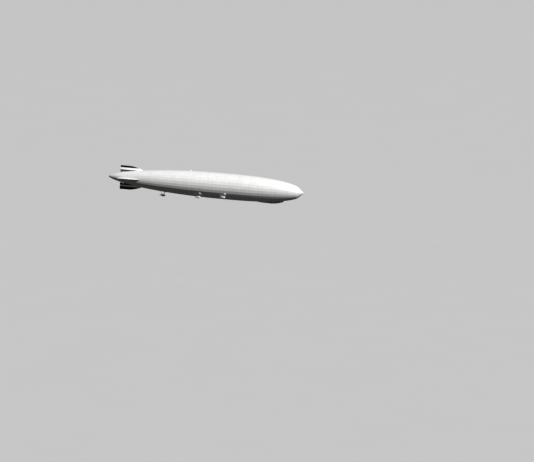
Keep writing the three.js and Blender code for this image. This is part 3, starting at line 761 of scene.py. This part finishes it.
template_paint = car_paint("template", Vector((0, 0, 0)))
for part in [first_shell] + sheet_parts:
    part.data.materials.append(template_paint)
template = smooth(joined([first_shell, core_disc] + sheet_parts + panes, "car_template"), 32)

for car in CARS:
    centre = car_centre(car)
    shell = copied(template, f"{car}_car_shell", Matrix.Translation(centre))
    own = car_paint(car, centre)
    for place, material in enumerate(shell.data.materials):
        if material == template_paint:
            shell.data.materials[place] = own
    dress(shell, "hull", None, "car_shell", f"{car}_car")
bpy.data.objects.remove(template)

# Engines
# Each car holds one twelve-cylinder engine on two bearers. It is a plain block behind the shell, of dark
# cast iron and alloy, and nothing more of it shows.
WARM_TINT = (1, 0.97, 0.92, 1)
iron = grained("engine_iron", WARM_TINT, (0.06, 0.12), (0.5, 0.25), (90, 4.0), 0.001, Metallic=0.6)
for car in CARS:
    coat(nodes[f"{car}_engine"], iron.material)

# Car suspension
# Each car hangs on four streamlined steel legs from a saddle on its back to the ribs of the hull, braced by
# thin wires. The crew's ladder leans up and forward to the hull, and a cloth hood covers the place where it
# goes in.
LEG_FEET = (0.15, -0.16)
LEG_FOOT_OUT = 0.035
FOOT_HEIGHT = 0.75 * CAR_RADIUS
LEG_SINK = 0.02
LEG_HEAD_OUT = 0.17
LEG_RAKE = 0.05
LEG_CHORD = 0.017
LEG_THICKNESS = 0.0098
LEG_ROWS = ((0, 1.45), (0.16, 1.45), (0.19, 1.0), (0.9, 1.0), (0.93, 1.35), (1, 1.5))
LADDER_X = 0.07
LADDER_HALF = 0.02
LADDER_RADIUS = 0.0038
RUNG_STEP = 0.03
RUNG_RADIUS = 0.0026
SADDLE_LENGTH = 0.36
SADDLE_WIDTH = 0.09
SADDLE_THICKNESS = 0.014
SADDLE_X = -0.005
SADDLE_SINK = 0.008
SADDLE_SQUARENESS = 0.4
SADDLE_STEPS = 16
HOOD_SIZE = (0.254, 0.194, 0.164)
HOOD_X = 0.22
HOOD_ANGLES = {"forward": 61, "middle": 51.5, "aft": 0}
WIRE_RADIUS = 0.0012
WIRE_SINK = 1.4 * SKIN
WIRE_FOOT_X = 0.16
WIRE_FOOT_OUT = 0.86
WIRE_FOOT_UP = 0.49
WIRE_ROOTS = ((0.44, 0.34), (0.2, 0.38))
strut_paint = Paint("strut_silver", Metallic=0.45)
brushing = strut_paint.noise(strut_paint.point(), 70, 4.0)
strut_colour = strut_paint.mix(0.58 + (brushing - 0.5) * 0.18, BLACK, COVER_TINT)
strut_paint.finish(strut_colour, 0.36 + brushing * 0.2, brushing, 0.0005)


def faired_leg(foot, head):
    """A streamlined tube with a wider socket at each end."""
    def corner(row, turn):
        share, grow = LEG_ROWS[row]
        ahead = math.cos(turn * math.tau)
        out = math.sin(turn * math.tau) * (0.8 + 0.2 * ahead)
        return foot.lerp(head, share) + Vector((LEG_CHORD * ahead, LEG_THICKNESS * out, 0)) * grow / 2

    return swept("leg", len(LEG_ROWS), 20, corner)


def saddle_corner(row, turn):
    along = 2 * row / (SADDLE_STEPS - 1) - 1
    along = math.copysign(abs(along) ** 0.6, along)
    narrowing = math.sqrt(1 - 0.98 * along**6)
    across = math.cos(turn * math.tau)
    rise = math.sin(turn * math.tau)
    return (
        SADDLE_X + along * SADDLE_LENGTH / 2,
        math.copysign(abs(across) ** SADDLE_SQUARENESS, across) * narrowing * SADDLE_WIDTH / 2,
        CAR_RADIUS - SADDLE_SINK + math.copysign(abs(rise) ** SADDLE_SQUARENESS, rise) * SADDLE_THICKNESS / 2,
    )


for car in CARS:
    centre = car_centre(car)
    drop = math.hypot(centre.y, centre.z)
    surface = drop - hull_radius(centre.x)
    down_angle = math.atan2(centre.y, -centre.z)
    hang = Matrix.Rotation(down_angle, 4, "X") @ Matrix.Translation((centre.x, 0, -drop))
    lean = math.copysign(math.radians(HOOD_ANGLES[car.split("_")[0]]), centre.y) - down_angle
    hood_place = Matrix.Translation((HOOD_X, 0, drop)) @ Matrix.Rotation(lean, 4, "X")
    hood_place @= Matrix.Translation((0, 0, -hull_radius(centre.x)))
    foot = Vector((LADDER_X, 0, FOOT_HEIGHT))
    head = hood_place.translation
    beside = Vector((LADDER_HALF, 0, 0))
    parts = [swept("saddle", SADDLE_STEPS, 32, saddle_corner)]
    for x in LEG_FEET:
        for side in (-1, 1):
            head_x = x + math.copysign(LEG_RAKE, x)
            leg_foot = Vector((x, side * LEG_FOOT_OUT, FOOT_HEIGHT))
            parts.append(faired_leg(leg_foot, Vector((head_x, side * LEG_HEAD_OUT, surface + LEG_SINK))))
    for side in (-1, 1):
        parts.append(tube("rail", [foot + side * beside, head + side * beside], LADDER_RADIUS, 10))
    length = (head - foot).length
    for step in range(2, int((length - 0.01) / RUNG_STEP) + 1):
        rung = foot.lerp(head, step * RUNG_STEP / length)
        parts.append(tube("rung", [rung - beside, rung + beside], RUNG_RADIUS, 8))
    for part in parts:
        part.data.materials.append(strut_paint.material)
    clear_selection()
    bpy.ops.mesh.primitive_uv_sphere_add(
        segments=BALL_SIDES, ring_count=BALL_RINGS, radius=0.5, scale=HOOD_SIZE)
    root_hood = added("root_hood")
    root_hood.data.transform(hood_place)
    root_hood.data.materials.append(cover)
    hanger = smooth(joined(parts + [root_hood], f"{car}_suspension"), 40)
    hanger.data.transform(hang)
    dress(hanger, "hull", None, "strut_metal", f"{car}_struts")
    wires = []
    for end in (-1, 1):
        foot_x = end * WIRE_FOOT_X
        foot_out = WIRE_FOOT_OUT * car_radius(foot_x)
        foot_up = WIRE_FOOT_UP * car_radius(foot_x)
        for side in (-1, 1):
            for reach, spread in WIRE_ROOTS:
                inside = hull_radius(centre.x + end * reach) - WIRE_SINK
                root = (end * reach, side * spread, drop - math.sqrt(inside**2 - spread**2))
                wires.append(tube("wire", [(foot_x, side * foot_out, foot_up), root], WIRE_RADIUS, 6))
    stays = joined(wires, f"{car}_stays")
    stays.data.transform(hang)
    dress(stays, "hull", strut_paint.material, "strut_metal")

# Propellers
# Four-bladed pusher propellers of laminated wood, varnished, with brass on the outer leading edges and a
# steel spinner. One is joined from its hub and four twisted blades, and is copied to each shaft.
BLADE_ROWS = (
    (0.012, 0.024, 0.013, 58), (0.05, 0.033, 0.0075, 42), (0.12, 0.03, 0.0045, 24), (0.17, 0.01, 0.002, 18),
)
BLADE_EASE = 0.4
BLADE_FULLNESS = 0.42
BLADE_THINNING = 0.4
BLADE_CAMBER = 0.12
PROPELLER_RADIUS = 0.17
HUB_LENGTH = 0.034
HUB_RADIUS = 0.02
SPINNER_LENGTH = 0.026
SPINNER_ROWS = ((1, 0.002), (0.97, 0.0052), (0.88, 0.0088), (0.7, 0.0122), (0.4, 0.0158))
PROPELLER_GAP = 0.005
SHAFT_RADIUS = 0.009
SHAFT_REACH = 0.051
BLADE_STEPS = 16
EDGING_STEPS = 9
EDGING_START = 0.1
EDGING_SHARE = 0.2
EDGING_OUT = 0.015
EDGING_PROUD = 0.0003
OPEN_GRAIN = (0.27, 0.135, 0.058, 1)
DARK_GRAIN = (0.19, 0.092, 0.04, 1)
BRASS_TINT = (0.72, 0.5, 0.22, 1)


def blade_row(radius):
    """Chord, thickness and pitch of the blade at a distance from the shaft."""
    for (low, *first), (high, *second) in zip(BLADE_ROWS, BLADE_ROWS[1:]):
        if radius <= high + 1e-9:
            share = (radius - low) / (high - low)
            share = share * share * (3 - 2 * share) * BLADE_EASE + share * (1 - BLADE_EASE)
            return [a + (b - a) * share for a, b in zip(first, second)]
    return BLADE_ROWS[-1][1:]


def blade_point(radius, across, side, grow):
    """A place on one face of the blade, at a share of the chord from its middle, stood out by grow."""
    chord, thick, pitch = blade_row(radius)
    inward = max(0, 1 - (2 * across) ** 2)
    face = BLADE_FULLNESS * math.copysign(math.sqrt(inward), side) * (1 - BLADE_THINNING * across)
    out = (face + BLADE_CAMBER * inward) * thick
    turned = Vector((out + math.copysign(grow, side), across * chord))
    turned.rotate(Matrix.Rotation(math.radians(90 - pitch), 2))
    return turned.x - HUB_LENGTH / 2, turned.y, radius


def blade_corner(row, turn):
    radius = BLADE_ROWS[0][0] + (PROPELLER_RADIUS - BLADE_ROWS[0][0]) * (row / (BLADE_STEPS - 1)) ** 0.9
    return blade_point(radius, -0.5 * math.cos(turn * math.tau), math.sin(turn * math.tau), 0)


def edging_corner(row, turn):
    radius = EDGING_START + (PROPELLER_RADIUS - 0.001 - EDGING_START) * row / (EDGING_STEPS - 1)
    across = -0.5 + EDGING_SHARE * (0.5 - 0.5 * math.cos(turn * math.tau))
    return blade_point(radius, across - EDGING_OUT, math.sin(turn * math.tau), EDGING_PROUD)


varnish = Paint("laminated_wood", Coat_Weight=0.5)
wood_x, _, _ = varnish.parts(varnish.point())
grain = varnish.noise(varnish.point(scale=(60, 60, 60)), 1.5, 5.0)
layer = varnish.near_line((wood_x + grain * 0.003) / 0.007, 0.18, 0.2)
wood_tone = varnish.mix(layer, OPEN_GRAIN, DARK_GRAIN)
varnish.finish(varnish.mix(0.7 + grain * 0.6, BLACK, wood_tone), 0.25 + grain * 0.15, grain, 0.0004)
brass = grained("brass_edging", BRASS_TINT, (0.7, 0.3), (0.26, 0.2), (120, 3.0), 0.0003, Metallic=0.9)
hub = ring_body("hub", [
    (-HUB_LENGTH, HUB_RADIUS - 0.001), (-HUB_LENGTH + 0.001, HUB_RADIUS), (-0.001, HUB_RADIUS),
    (0, HUB_RADIUS - 0.001), (0, SHAFT_RADIUS + 0.004), (0.002, SHAFT_RADIUS + 0.002), (0.002, SHAFT_RADIUS),
    (SHAFT_REACH, SHAFT_RADIUS),
])
hub.data.materials.append(varnish.material)
spinner_rings = [(-HUB_LENGTH - share * SPINNER_LENGTH, radius) for share, radius in SPINNER_ROWS]
spinner = ring_body("spinner", spinner_rings + [
    (-HUB_LENGTH - 0.004, 0.0182), (-HUB_LENGTH - 0.003, HUB_RADIUS), (-HUB_LENGTH + 0.0005, HUB_RADIUS),
])
spinner.data.materials.append(steel.material)
blades = []
for quarter in range(4):
    for name, rows, corner, paint in (
        ("blade", BLADE_STEPS, blade_corner, varnish), ("edging", EDGING_STEPS, edging_corner, brass),
    ):
        blade = swept(name, rows, 20, corner)
        blade.data.transform(Matrix.Rotation(quarter * math.pi / 2, 4, "X"))
        blade.data.materials.append(paint.material)
        blades.append(blade)
first_propeller = smooth(joined([hub, spinner] + blades, "propeller_template"), 40)
for car in CARS:
    centre = car_centre(car)
    place = Matrix.Translation((centre.x + CAR_TAIL - PROPELLER_GAP, centre.y, centre.z))
    propeller = copied(first_propeller, f"{car}_propeller_wood", place)
    own = varnish.material.copy()
    own.name = f"{car}_laminated_wood"
    for mapping in (node for node in own.node_tree.nodes if node.type == "MAPPING"):
        stretch = mapping.inputs["Scale"].default_value
        mapping.inputs["Location"].default_value = tuple(-a * b for a, b in zip(place.translation, stretch))
    for slot, material in enumerate(propeller.data.materials):
        if material == varnish.material:
            propeller.data.materials[slot] = own
    dress(propeller, f"{car}_propeller", None, "propeller_wood", f"{car}_propeller")
bpy.data.objects.remove(first_propeller)

# Landing bumpers
# Two round air cushions of rubbered cloth, one under the control car and one under the aft engine car, that
# take the ship's touch on the ground. Each is turned as one profile and keeps to its measured box.
BUMPER_PROFILE = (
    (0, 0.1), (0.004, 0.3), (0.03, 0.5), (0.1, 0.68), (0.25, 0.86), (0.42, 0.96), (0.6, 1.0), (0.8, 1.0),
    (1.0, 0.99), (1.2, 0.93), (1.35, 0.82), (1.5, 0.79), (1.6, 0.78),
)
BUMPER_HEIGHTS = {"front_bumper": 0.034, "rear_bumper": 0.046}
rubber = Paint("rubbered_cloth")
scuff = rubber.noise(rubber.point(), 18, 4.0)
knit = rubber.noise(rubber.point(), 260, 2.0)
rubber_colour = rubber.mix(0.2 + scuff * 0.2 + knit * 0.05, BLACK, WARM_TINT)
rubber.finish(rubber_colour, 0.7 + scuff * 0.2, scuff + knit, 0.0006)
for node, height in BUMPER_HEIGHTS.items():
    low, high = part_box(node)
    radius = (high.x - low.x) / 2
    profile = [(up * height, out * radius) for up, out in BUMPER_PROFILE]
    bumper = ring_body(f"{node}_cushion", profile, 40)
    bumper.data.transform(Matrix.Translation(((low.x + high.x) / 2, 0, low.z)) @ STANDING)
    dress(smooth(bumper, 40), "hull", rubber.material, "bumper_rubber", node)

# Control and passenger car
# A long car under the bow with a light metal frame under doped cloth. Its skin is swept along the ship, made
# hollow and cut for the windows and the entrance, and thin frames that follow the skin go round each window.
CABIN_BOW = 23.4
CABIN_LEVEL = 37
CABIN_TAPER = 36
CABIN_END_LEVEL = 46
CABIN_STERN = 53.5
CABIN_TOP = -0.95
CABIN_WALL = 0.012
KEEL_DEPTH = 15
BOW_RISE = 2.65
BOW_RISE_CURVE = 1.9
STERN_RISE = 0.35
HALF_WIDTH = 3
BOW_ROUND_START = 0.2
BOW_ROUND_LENGTH = 9.8
BOW_ROUND_CURVES = (3.2, 0.435)
STERN_NARROWING = 1.5
STERN_CURVE = 2.4
CORNER = 0.045
CORNER_SHARE = 0.7
SECTION_SIDES = 64
SIDE_WINDOWS = (
    (26.1, 1.0, 0.95), (27.5, 1.15, 1.0), (29, 1.15, 1.0), (30.8, 1.0, 0.9), (32.5, 0.8, 0.8),
    (36.7, 1.25, 0.85), (38.3, 1.25, 0.85), (39.9, 1.25, 0.8),
    (42, 0.8, 0.6), (43.9, 0.8, 0.55), (45.8, 0.8, 0.5), (47.7, 0.8, 0.45),
)
BOW_WINDOWS = ((0, 1.1, 11.55, 12.2), (-42, 1.0, 11.6, 12.4), (42, 1.0, 11.6, 12.4))
BOW_CENTRE = 25.6
BOW_WINDOW_OUT = 0.13
TWO_PANES_FROM = 0.9
GLAZING_BAR = 0.004
WINDOW_DROP = 0.022
FRAME_WIDTH = 0.006
FRAME_PROUD = 0.002
FRAME_BACK = 0.001
DOOR_STATION = 34.5
DOORWAY_WIDTH = 0.1
DOORWAY_PLAY = 0.01
DOORWAY_CORNER = 0.006
STARBOARD_WALL = -0.3


def station_x(station):
    return NOSE - station * SCALE


def cabin_at(station):
    """Depth of the keel below the hull's axis, and half of the car's width."""
    to_bow = max(0, CABIN_LEVEL - station) / (CABIN_LEVEL - CABIN_BOW)
    to_stern = max(0, station - CABIN_END_LEVEL) / (CABIN_STERN - CABIN_END_LEVEL)
    in_bow = min(1, max(0, (station - CABIN_BOW + BOW_ROUND_START) / BOW_ROUND_LENGTH))
    in_taper = max(0, station - CABIN_TAPER) / (CABIN_STERN - CABIN_TAPER)
    keel = KEEL_DEPTH - BOW_RISE * to_bow**BOW_RISE_CURVE - STERN_RISE * to_stern**2
    rounded = (1 - (1 - in_bow) ** BOW_ROUND_CURVES[0]) ** BOW_ROUND_CURVES[1]
    half = HALF_WIDTH * rounded - STERN_NARROWING * in_taper**STERN_CURVE
    return keel * SCALE, half * SCALE


def seam_depth(station):
    return math.sqrt(hull_radius(station_x(station)) ** 2 - cabin_at(station)[1] ** 2)


cabin_stations = [23.4, 23.5, 23.65, 23.85, 24.1, 24.4, 24.8, 25.3, 25.9, 26.6, 27.4, 28.3, 29.3, 30.4, 31.6]
cabin_stations += [33, 34.5, 36, 37.5, 39, 40.5, 42, 43.5, 45, 46.5, 48, 49.5, 51, 52.3, 53.1, 53.5]


def cabin_form(name, inset):
    """The car's outer form drawn in by an inset, as a solid that runs up into the hull."""
    def corner(row, turn):
        station = cabin_stations[row]
        keel, half = cabin_at(station)
        x = station_x(station)
        if row == 0:
            x -= inset
        elif row == len(cabin_stations) - 1:
            x += inset
        half -= inset
        bottom = -keel + inset
        top = CABIN_TOP
        round_radius = min(CORNER - min(max(inset, 0), 0.02), half * CORNER_SHARE)
        around = (turn * SECTION_SIDES) % SECTION_SIDES
        quarter = SECTION_SIDES / 4
        side = 1 if around < SECTION_SIDES / 2 else -1
        step = around if side > 0 else SECTION_SIDES - around
        if step <= quarter * 0.5:
            return x, side * half * step / (quarter * 0.5), top
        if step <= quarter:
            share = (step - quarter * 0.5) / (quarter * 0.5)
            return x, side * half, top + (bottom + round_radius - top) * share
        if step <= quarter * 1.5:
            angle = (step - quarter) / (quarter * 0.5) * math.pi / 2
            y = half - round_radius + round_radius * math.cos(angle)
            z = bottom + round_radius - round_radius * math.sin(angle)
            return x, side * y, z
        share = (step - quarter * 1.5) / (quarter * 0.5)
        return x, side * (half - round_radius) * (1 - share), bottom

    return swept(name, len(cabin_stations), SECTION_SIDES, corner)


def pane_block(name, x, z, width, height, depth, y=0, round_radius=0.008, turn=0):
    """A block through the wall with its four long edges rounded, for one window pane."""
    clear_selection()
    bpy.ops.mesh.primitive_cube_add(size=1, scale=(width, depth, height))
    piece = added(name)
    edit(piece)
    bpy.ops.mesh.select_all(action="DESELECT")
    bpy.ops.object.mode_set(mode="OBJECT")
    for edge in piece.data.edges:
        first, second = (piece.data.vertices[index].co for index in edge.vertices)
        edge.select = abs(first.y - second.y) > depth / 2
    bpy.ops.object.mode_set(mode="EDIT")
    bpy.ops.mesh.select_mode(type="EDGE")
    bpy.ops.mesh.bevel(offset=round_radius, segments=4)
    bpy.ops.object.mode_set(mode="OBJECT")
    piece.data.transform(Matrix.Translation((x, y, z)) @ Matrix.Rotation(turn, 4, "Z"))
    return piece


def window_blocks(grow, split):
    """Blocks for all the windows, grown by a margin, and as two panes where a window is split."""
    blocks = []
    for station, width, height in SIDE_WINDOWS:
        wide = width * SCALE + 2 * grow
        tall = height * SCALE + 2 * grow
        z = -(seam_depth(station) + WINDOW_DROP + height * SCALE / 2)
        panes = [(0, wide)]
        if split and width > TWO_PANES_FROM:
            shift = (wide + GLAZING_BAR) / 4
            pane = (wide - GLAZING_BAR) / 2
            panes = [(-shift, pane), (shift, pane)]
        for shift, pane in panes:
            blocks.append(pane_block("pane", station_x(station) + shift, z, pane, tall, 1.0))
    for angle, width, top, bottom in BOW_WINDOWS:
        turn = math.radians(angle)
        x = station_x(BOW_CENTRE) + BOW_WINDOW_OUT * math.cos(turn)
        y = BOW_WINDOW_OUT * math.sin(turn)
        z = -(top + bottom) / 2 * SCALE
        wide = width * SCALE + 2 * grow
        tall = (bottom - top) * SCALE + 2 * grow
        blocks.append(pane_block("pane", x, z, wide, tall, 2 * BOW_WINDOW_OUT, y, turn=turn + math.pi / 2))
    return joined(blocks, "windows")


cabin_paint = Paint("cabin_cloth", Metallic=0.1)
cabin_point = cabin_paint.point()
cabin_x, _, cabin_z = cabin_paint.parts(cabin_point)
cabin_stain = cabin_paint.noise(cabin_paint.point(scale=(1, 1, 4)), 3, 5.0)
cabin_weave = cabin_paint.noise(cabin_point, 170, 2.0)
cabin_frame = cabin_paint.near_line(cabin_x / 0.15, 0.02, 0.02)
cabin_belt = cabin_paint.near_line(cabin_z / 0.12, 0.02, 0.02)
cabin_light = 0.61 + (cabin_stain - 0.5) * 0.1 - cabin_frame * 0.06 - cabin_belt * 0.04
cabin_colour = cabin_paint.mix(cabin_light, BLACK, COVER_TINT)
cabin_roughness = 0.46 + (cabin_stain - 0.5) * 0.2
cabin_height = cabin_frame * 0.5 + cabin_belt * 0.4 + cabin_weave * 0.1
cabin_paint.finish(cabin_colour, cabin_roughness, cabin_height, 0.0025)
door_low, door_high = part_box("cabin_door")
door_middle = (door_low.z + door_high.z) / 2
shell = cabin_form("cabin_cover", 0)
cut(shell, cabin_form("inside", CABIN_WALL))
cut(shell, window_blocks(0, False))
doorway_height = door_high.z - door_low.z + DOORWAY_PLAY
cut(shell, pane_block(
    "doorway", station_x(DOOR_STATION), door_middle, DOORWAY_WIDTH, doorway_height, 0.1, STARBOARD_WALL,
    DOORWAY_CORNER))
smooth(shell, 30)
dress(shell, "hull", cabin_paint.material, "cabin_cover", "cabin_bow", "cabin_middle", "cabin_aft")

frames = cabin_form("window_frames", -FRAME_PROUD)
cut(frames, cabin_form("under", FRAME_BACK))
cut(frames, window_blocks(FRAME_WIDTH, False), "INTERSECT")
cut(frames, window_blocks(0, True))
dress(smooth(frames, 30), "hull", strut_paint.material, "cabin_cover")

# Glass, door and inner walls
# Flat sheets of glass sit inside the wall behind the windows, the entrance door hangs on a pin at its forward
# edge, and plywood walls part the control room, the entrance and the saloon.
GLASS_TINT = (0.75, 0.9, 1.0, 1)
PLYWOOD_BROWN = (0.5, 0.32, 0.16, 1)
HANDLE_RADIUS = 0.0015
HANDLE = ((0.012, -0.012), (0.003, -0.010), (0.001, 0), (0.003, 0.010), (0.012, 0.012))
glass = grained(
    "window_glass", GLASS_TINT, (0.03, 0.04), (0.04, 0.06), (14, 4.0), Alpha=0.38, Coat_Weight=0.8)
plywood = grained("plywood", PLYWOOD_BROWN, (0.6, 0.6), (0.45, 0.2), (8, 5.0), 0.0006, (10, 10, 1))
for paint, names in (
    (glass, ("bow_glass", "port_glass", "starboard_glass")),
    (cabin_paint, ("cabin_door",)),
    (plywood, ("control_room_wall", "saloon_wall")),
):
    for name in names:
        coat(nodes[name], paint.material)

handle_line = []
for inward, rise in HANDLE:
    handle_line.append((door_low.x + 0.014, door_low.y + inward, door_middle + rise))
handle = tube("door_handle", handle_line, HANDLE_RADIUS, 8)
dress(handle, "cabin_door", bracket_steel.material, "cabin_cover")

# Ground handling rails
# Steel tubes along both sides of the car near its keel, on short stand-offs, by which the ground crew holds
# the ship down. Each side is two lengths with the entrance between them.
RAIL_RISE = 0.055
RAIL_OUT = 0.02
RAIL_RADIUS = 0.003
RAIL_STEP = 0.5
STAND_OFF_STEP = 2.4
STAND_OFF_RADIUS = 0.002
RAILS = {"port_rail": (1, ((27.5, 50.5),)), "starboard_rail": (-1, ((27.5, 33.6), (35.4, 50.5)))}
for name, (side, lengths) in RAILS.items():
    bars = []
    for start, end in lengths:
        run = []
        for station in spaced(start, end, RAIL_STEP):
            keel, half = cabin_at(station)
            run.append((station_x(station), side * (half + RAIL_OUT), -keel + RAIL_RISE))
        bars.append(tube("rail", run, RAIL_RADIUS, 10))
        for station in spaced(start, end, STAND_OFF_STEP):
            keel, half = cabin_at(station)
            x = station_x(station)
            z = -keel + RAIL_RISE
            stand_off = [(x, side * (half - 0.006), z), (x, side * (half + RAIL_OUT), z)]
            bars.append(tube("stand_off", stand_off, STAND_OFF_RADIUS, 8))
    dress(joined(bars, name), "hull", bracket_steel.material, "strut_metal")

# Studio
# A pale floor far below under a pale round backdrop, one lamp high ahead of the starboard beam, a weak one
# from the far side and from below, and a faint fill all round.
FLOOR_Z = -420
FLOOR_SIZE = 24000
BACKDROP_RADIUS = 11000
BACKDROP_GLOW = 0.47
LAMPS = (((0.75, -0.6, 0.95), 5.0), ((-0.25, 0.9, -0.2), 1.9))
LAMP_SPREAD = math.radians(6)
FILL = 0.09
EXPOSURE = -0.15
clear_selection()
bpy.ops.mesh.primitive_plane_add(size=FLOOR_SIZE, location=(0, 0, FLOOR_Z))
floor = added("studio_floor")
pale = Paint("pale_floor")
mottle = pale.noise(pale.point(), 0.02, 2.0)
pale.finish(pale.mix(0.4 + (mottle - 0.5) * 0.01, BLACK, (1, 1, 1, 1)), 0.9)
floor.data.materials.append(pale.material)
clear_selection()
bpy.ops.mesh.primitive_uv_sphere_add(segments=64, ring_count=32, radius=BACKDROP_RADIUS)
backdrop = added("studio_backdrop")
glow = Paint("pale_backdrop", Base_Color=BLACK, Specular_IOR_Level=0.0, Emission_Strength=BACKDROP_GLOW)
glow.feed(glow.shader, {"Emission Color": (1, 1, 1, 1)})
backdrop.data.materials.append(glow.material)
for stage in (floor, backdrop):
    stage.visible_diffuse = False
    stage.visible_glossy = False
    stage.visible_transmission = False
    stage.visible_shadow = False
for direction, energy in LAMPS:
    bpy.ops.object.light_add(type="SUN", rotation=Vector(direction).to_track_quat("Z", "Y").to_euler())
    lamp = bpy.context.object
    lamp.data.energy = energy
    lamp.data.angle = LAMP_SPREAD
world = bpy.data.worlds.new("studio")
world.use_nodes = True
sky = world.node_tree.nodes["Background"].inputs
sky["Color"].default_value = (1, 1, 1, 1)
sky["Strength"].default_value = FILL
bpy.context.scene.world = world
picture = bpy.context.scene.view_settings
picture.view_transform = "Standard"
picture.look = "High Contrast"
picture.exposure = EXPOSURE

# Camera
# The photograph was taken with a long lens from just ahead of the beam and a little above, and the ship is
# small in the frame, up and left of its middle.
AZIMUTH = math.radians(14.3)
ELEVATION = math.radians(7.46)
DISTANCE = 292.5
ROLL = math.radians(3.19)
LENS_PX = 2500
FRAME_PX = (534, 462)
ORIGIN_PX = (214.4, 185.3)
level = math.cos(ELEVATION)
towards = Vector((math.sin(AZIMUTH) * level, -math.cos(AZIMUTH) * level, math.sin(ELEVATION)))
across = (ORIGIN_PX[0] - FRAME_PX[0] / 2) / LENS_PX
up = (FRAME_PX[1] / 2 - ORIGIN_PX[1]) / LENS_PX
facing = towards.to_track_quat("Z", "Y").to_matrix() @ Matrix.Rotation(ROLL, 3, "Z")
aim = Vector((0, 0, -1)).rotation_difference(Vector((across, up, -1)).normalized())
facing = facing @ aim.to_matrix().inverted()
bpy.ops.object.camera_add(location=towards * DISTANCE, rotation=facing.to_euler())
camera = bpy.context.object
camera.data.sensor_width = 36
camera.data.lens = LENS_PX / FRAME_PX[0] * camera.data.sensor_width
camera.data.clip_end = 30000
bpy.context.scene.camera = camera
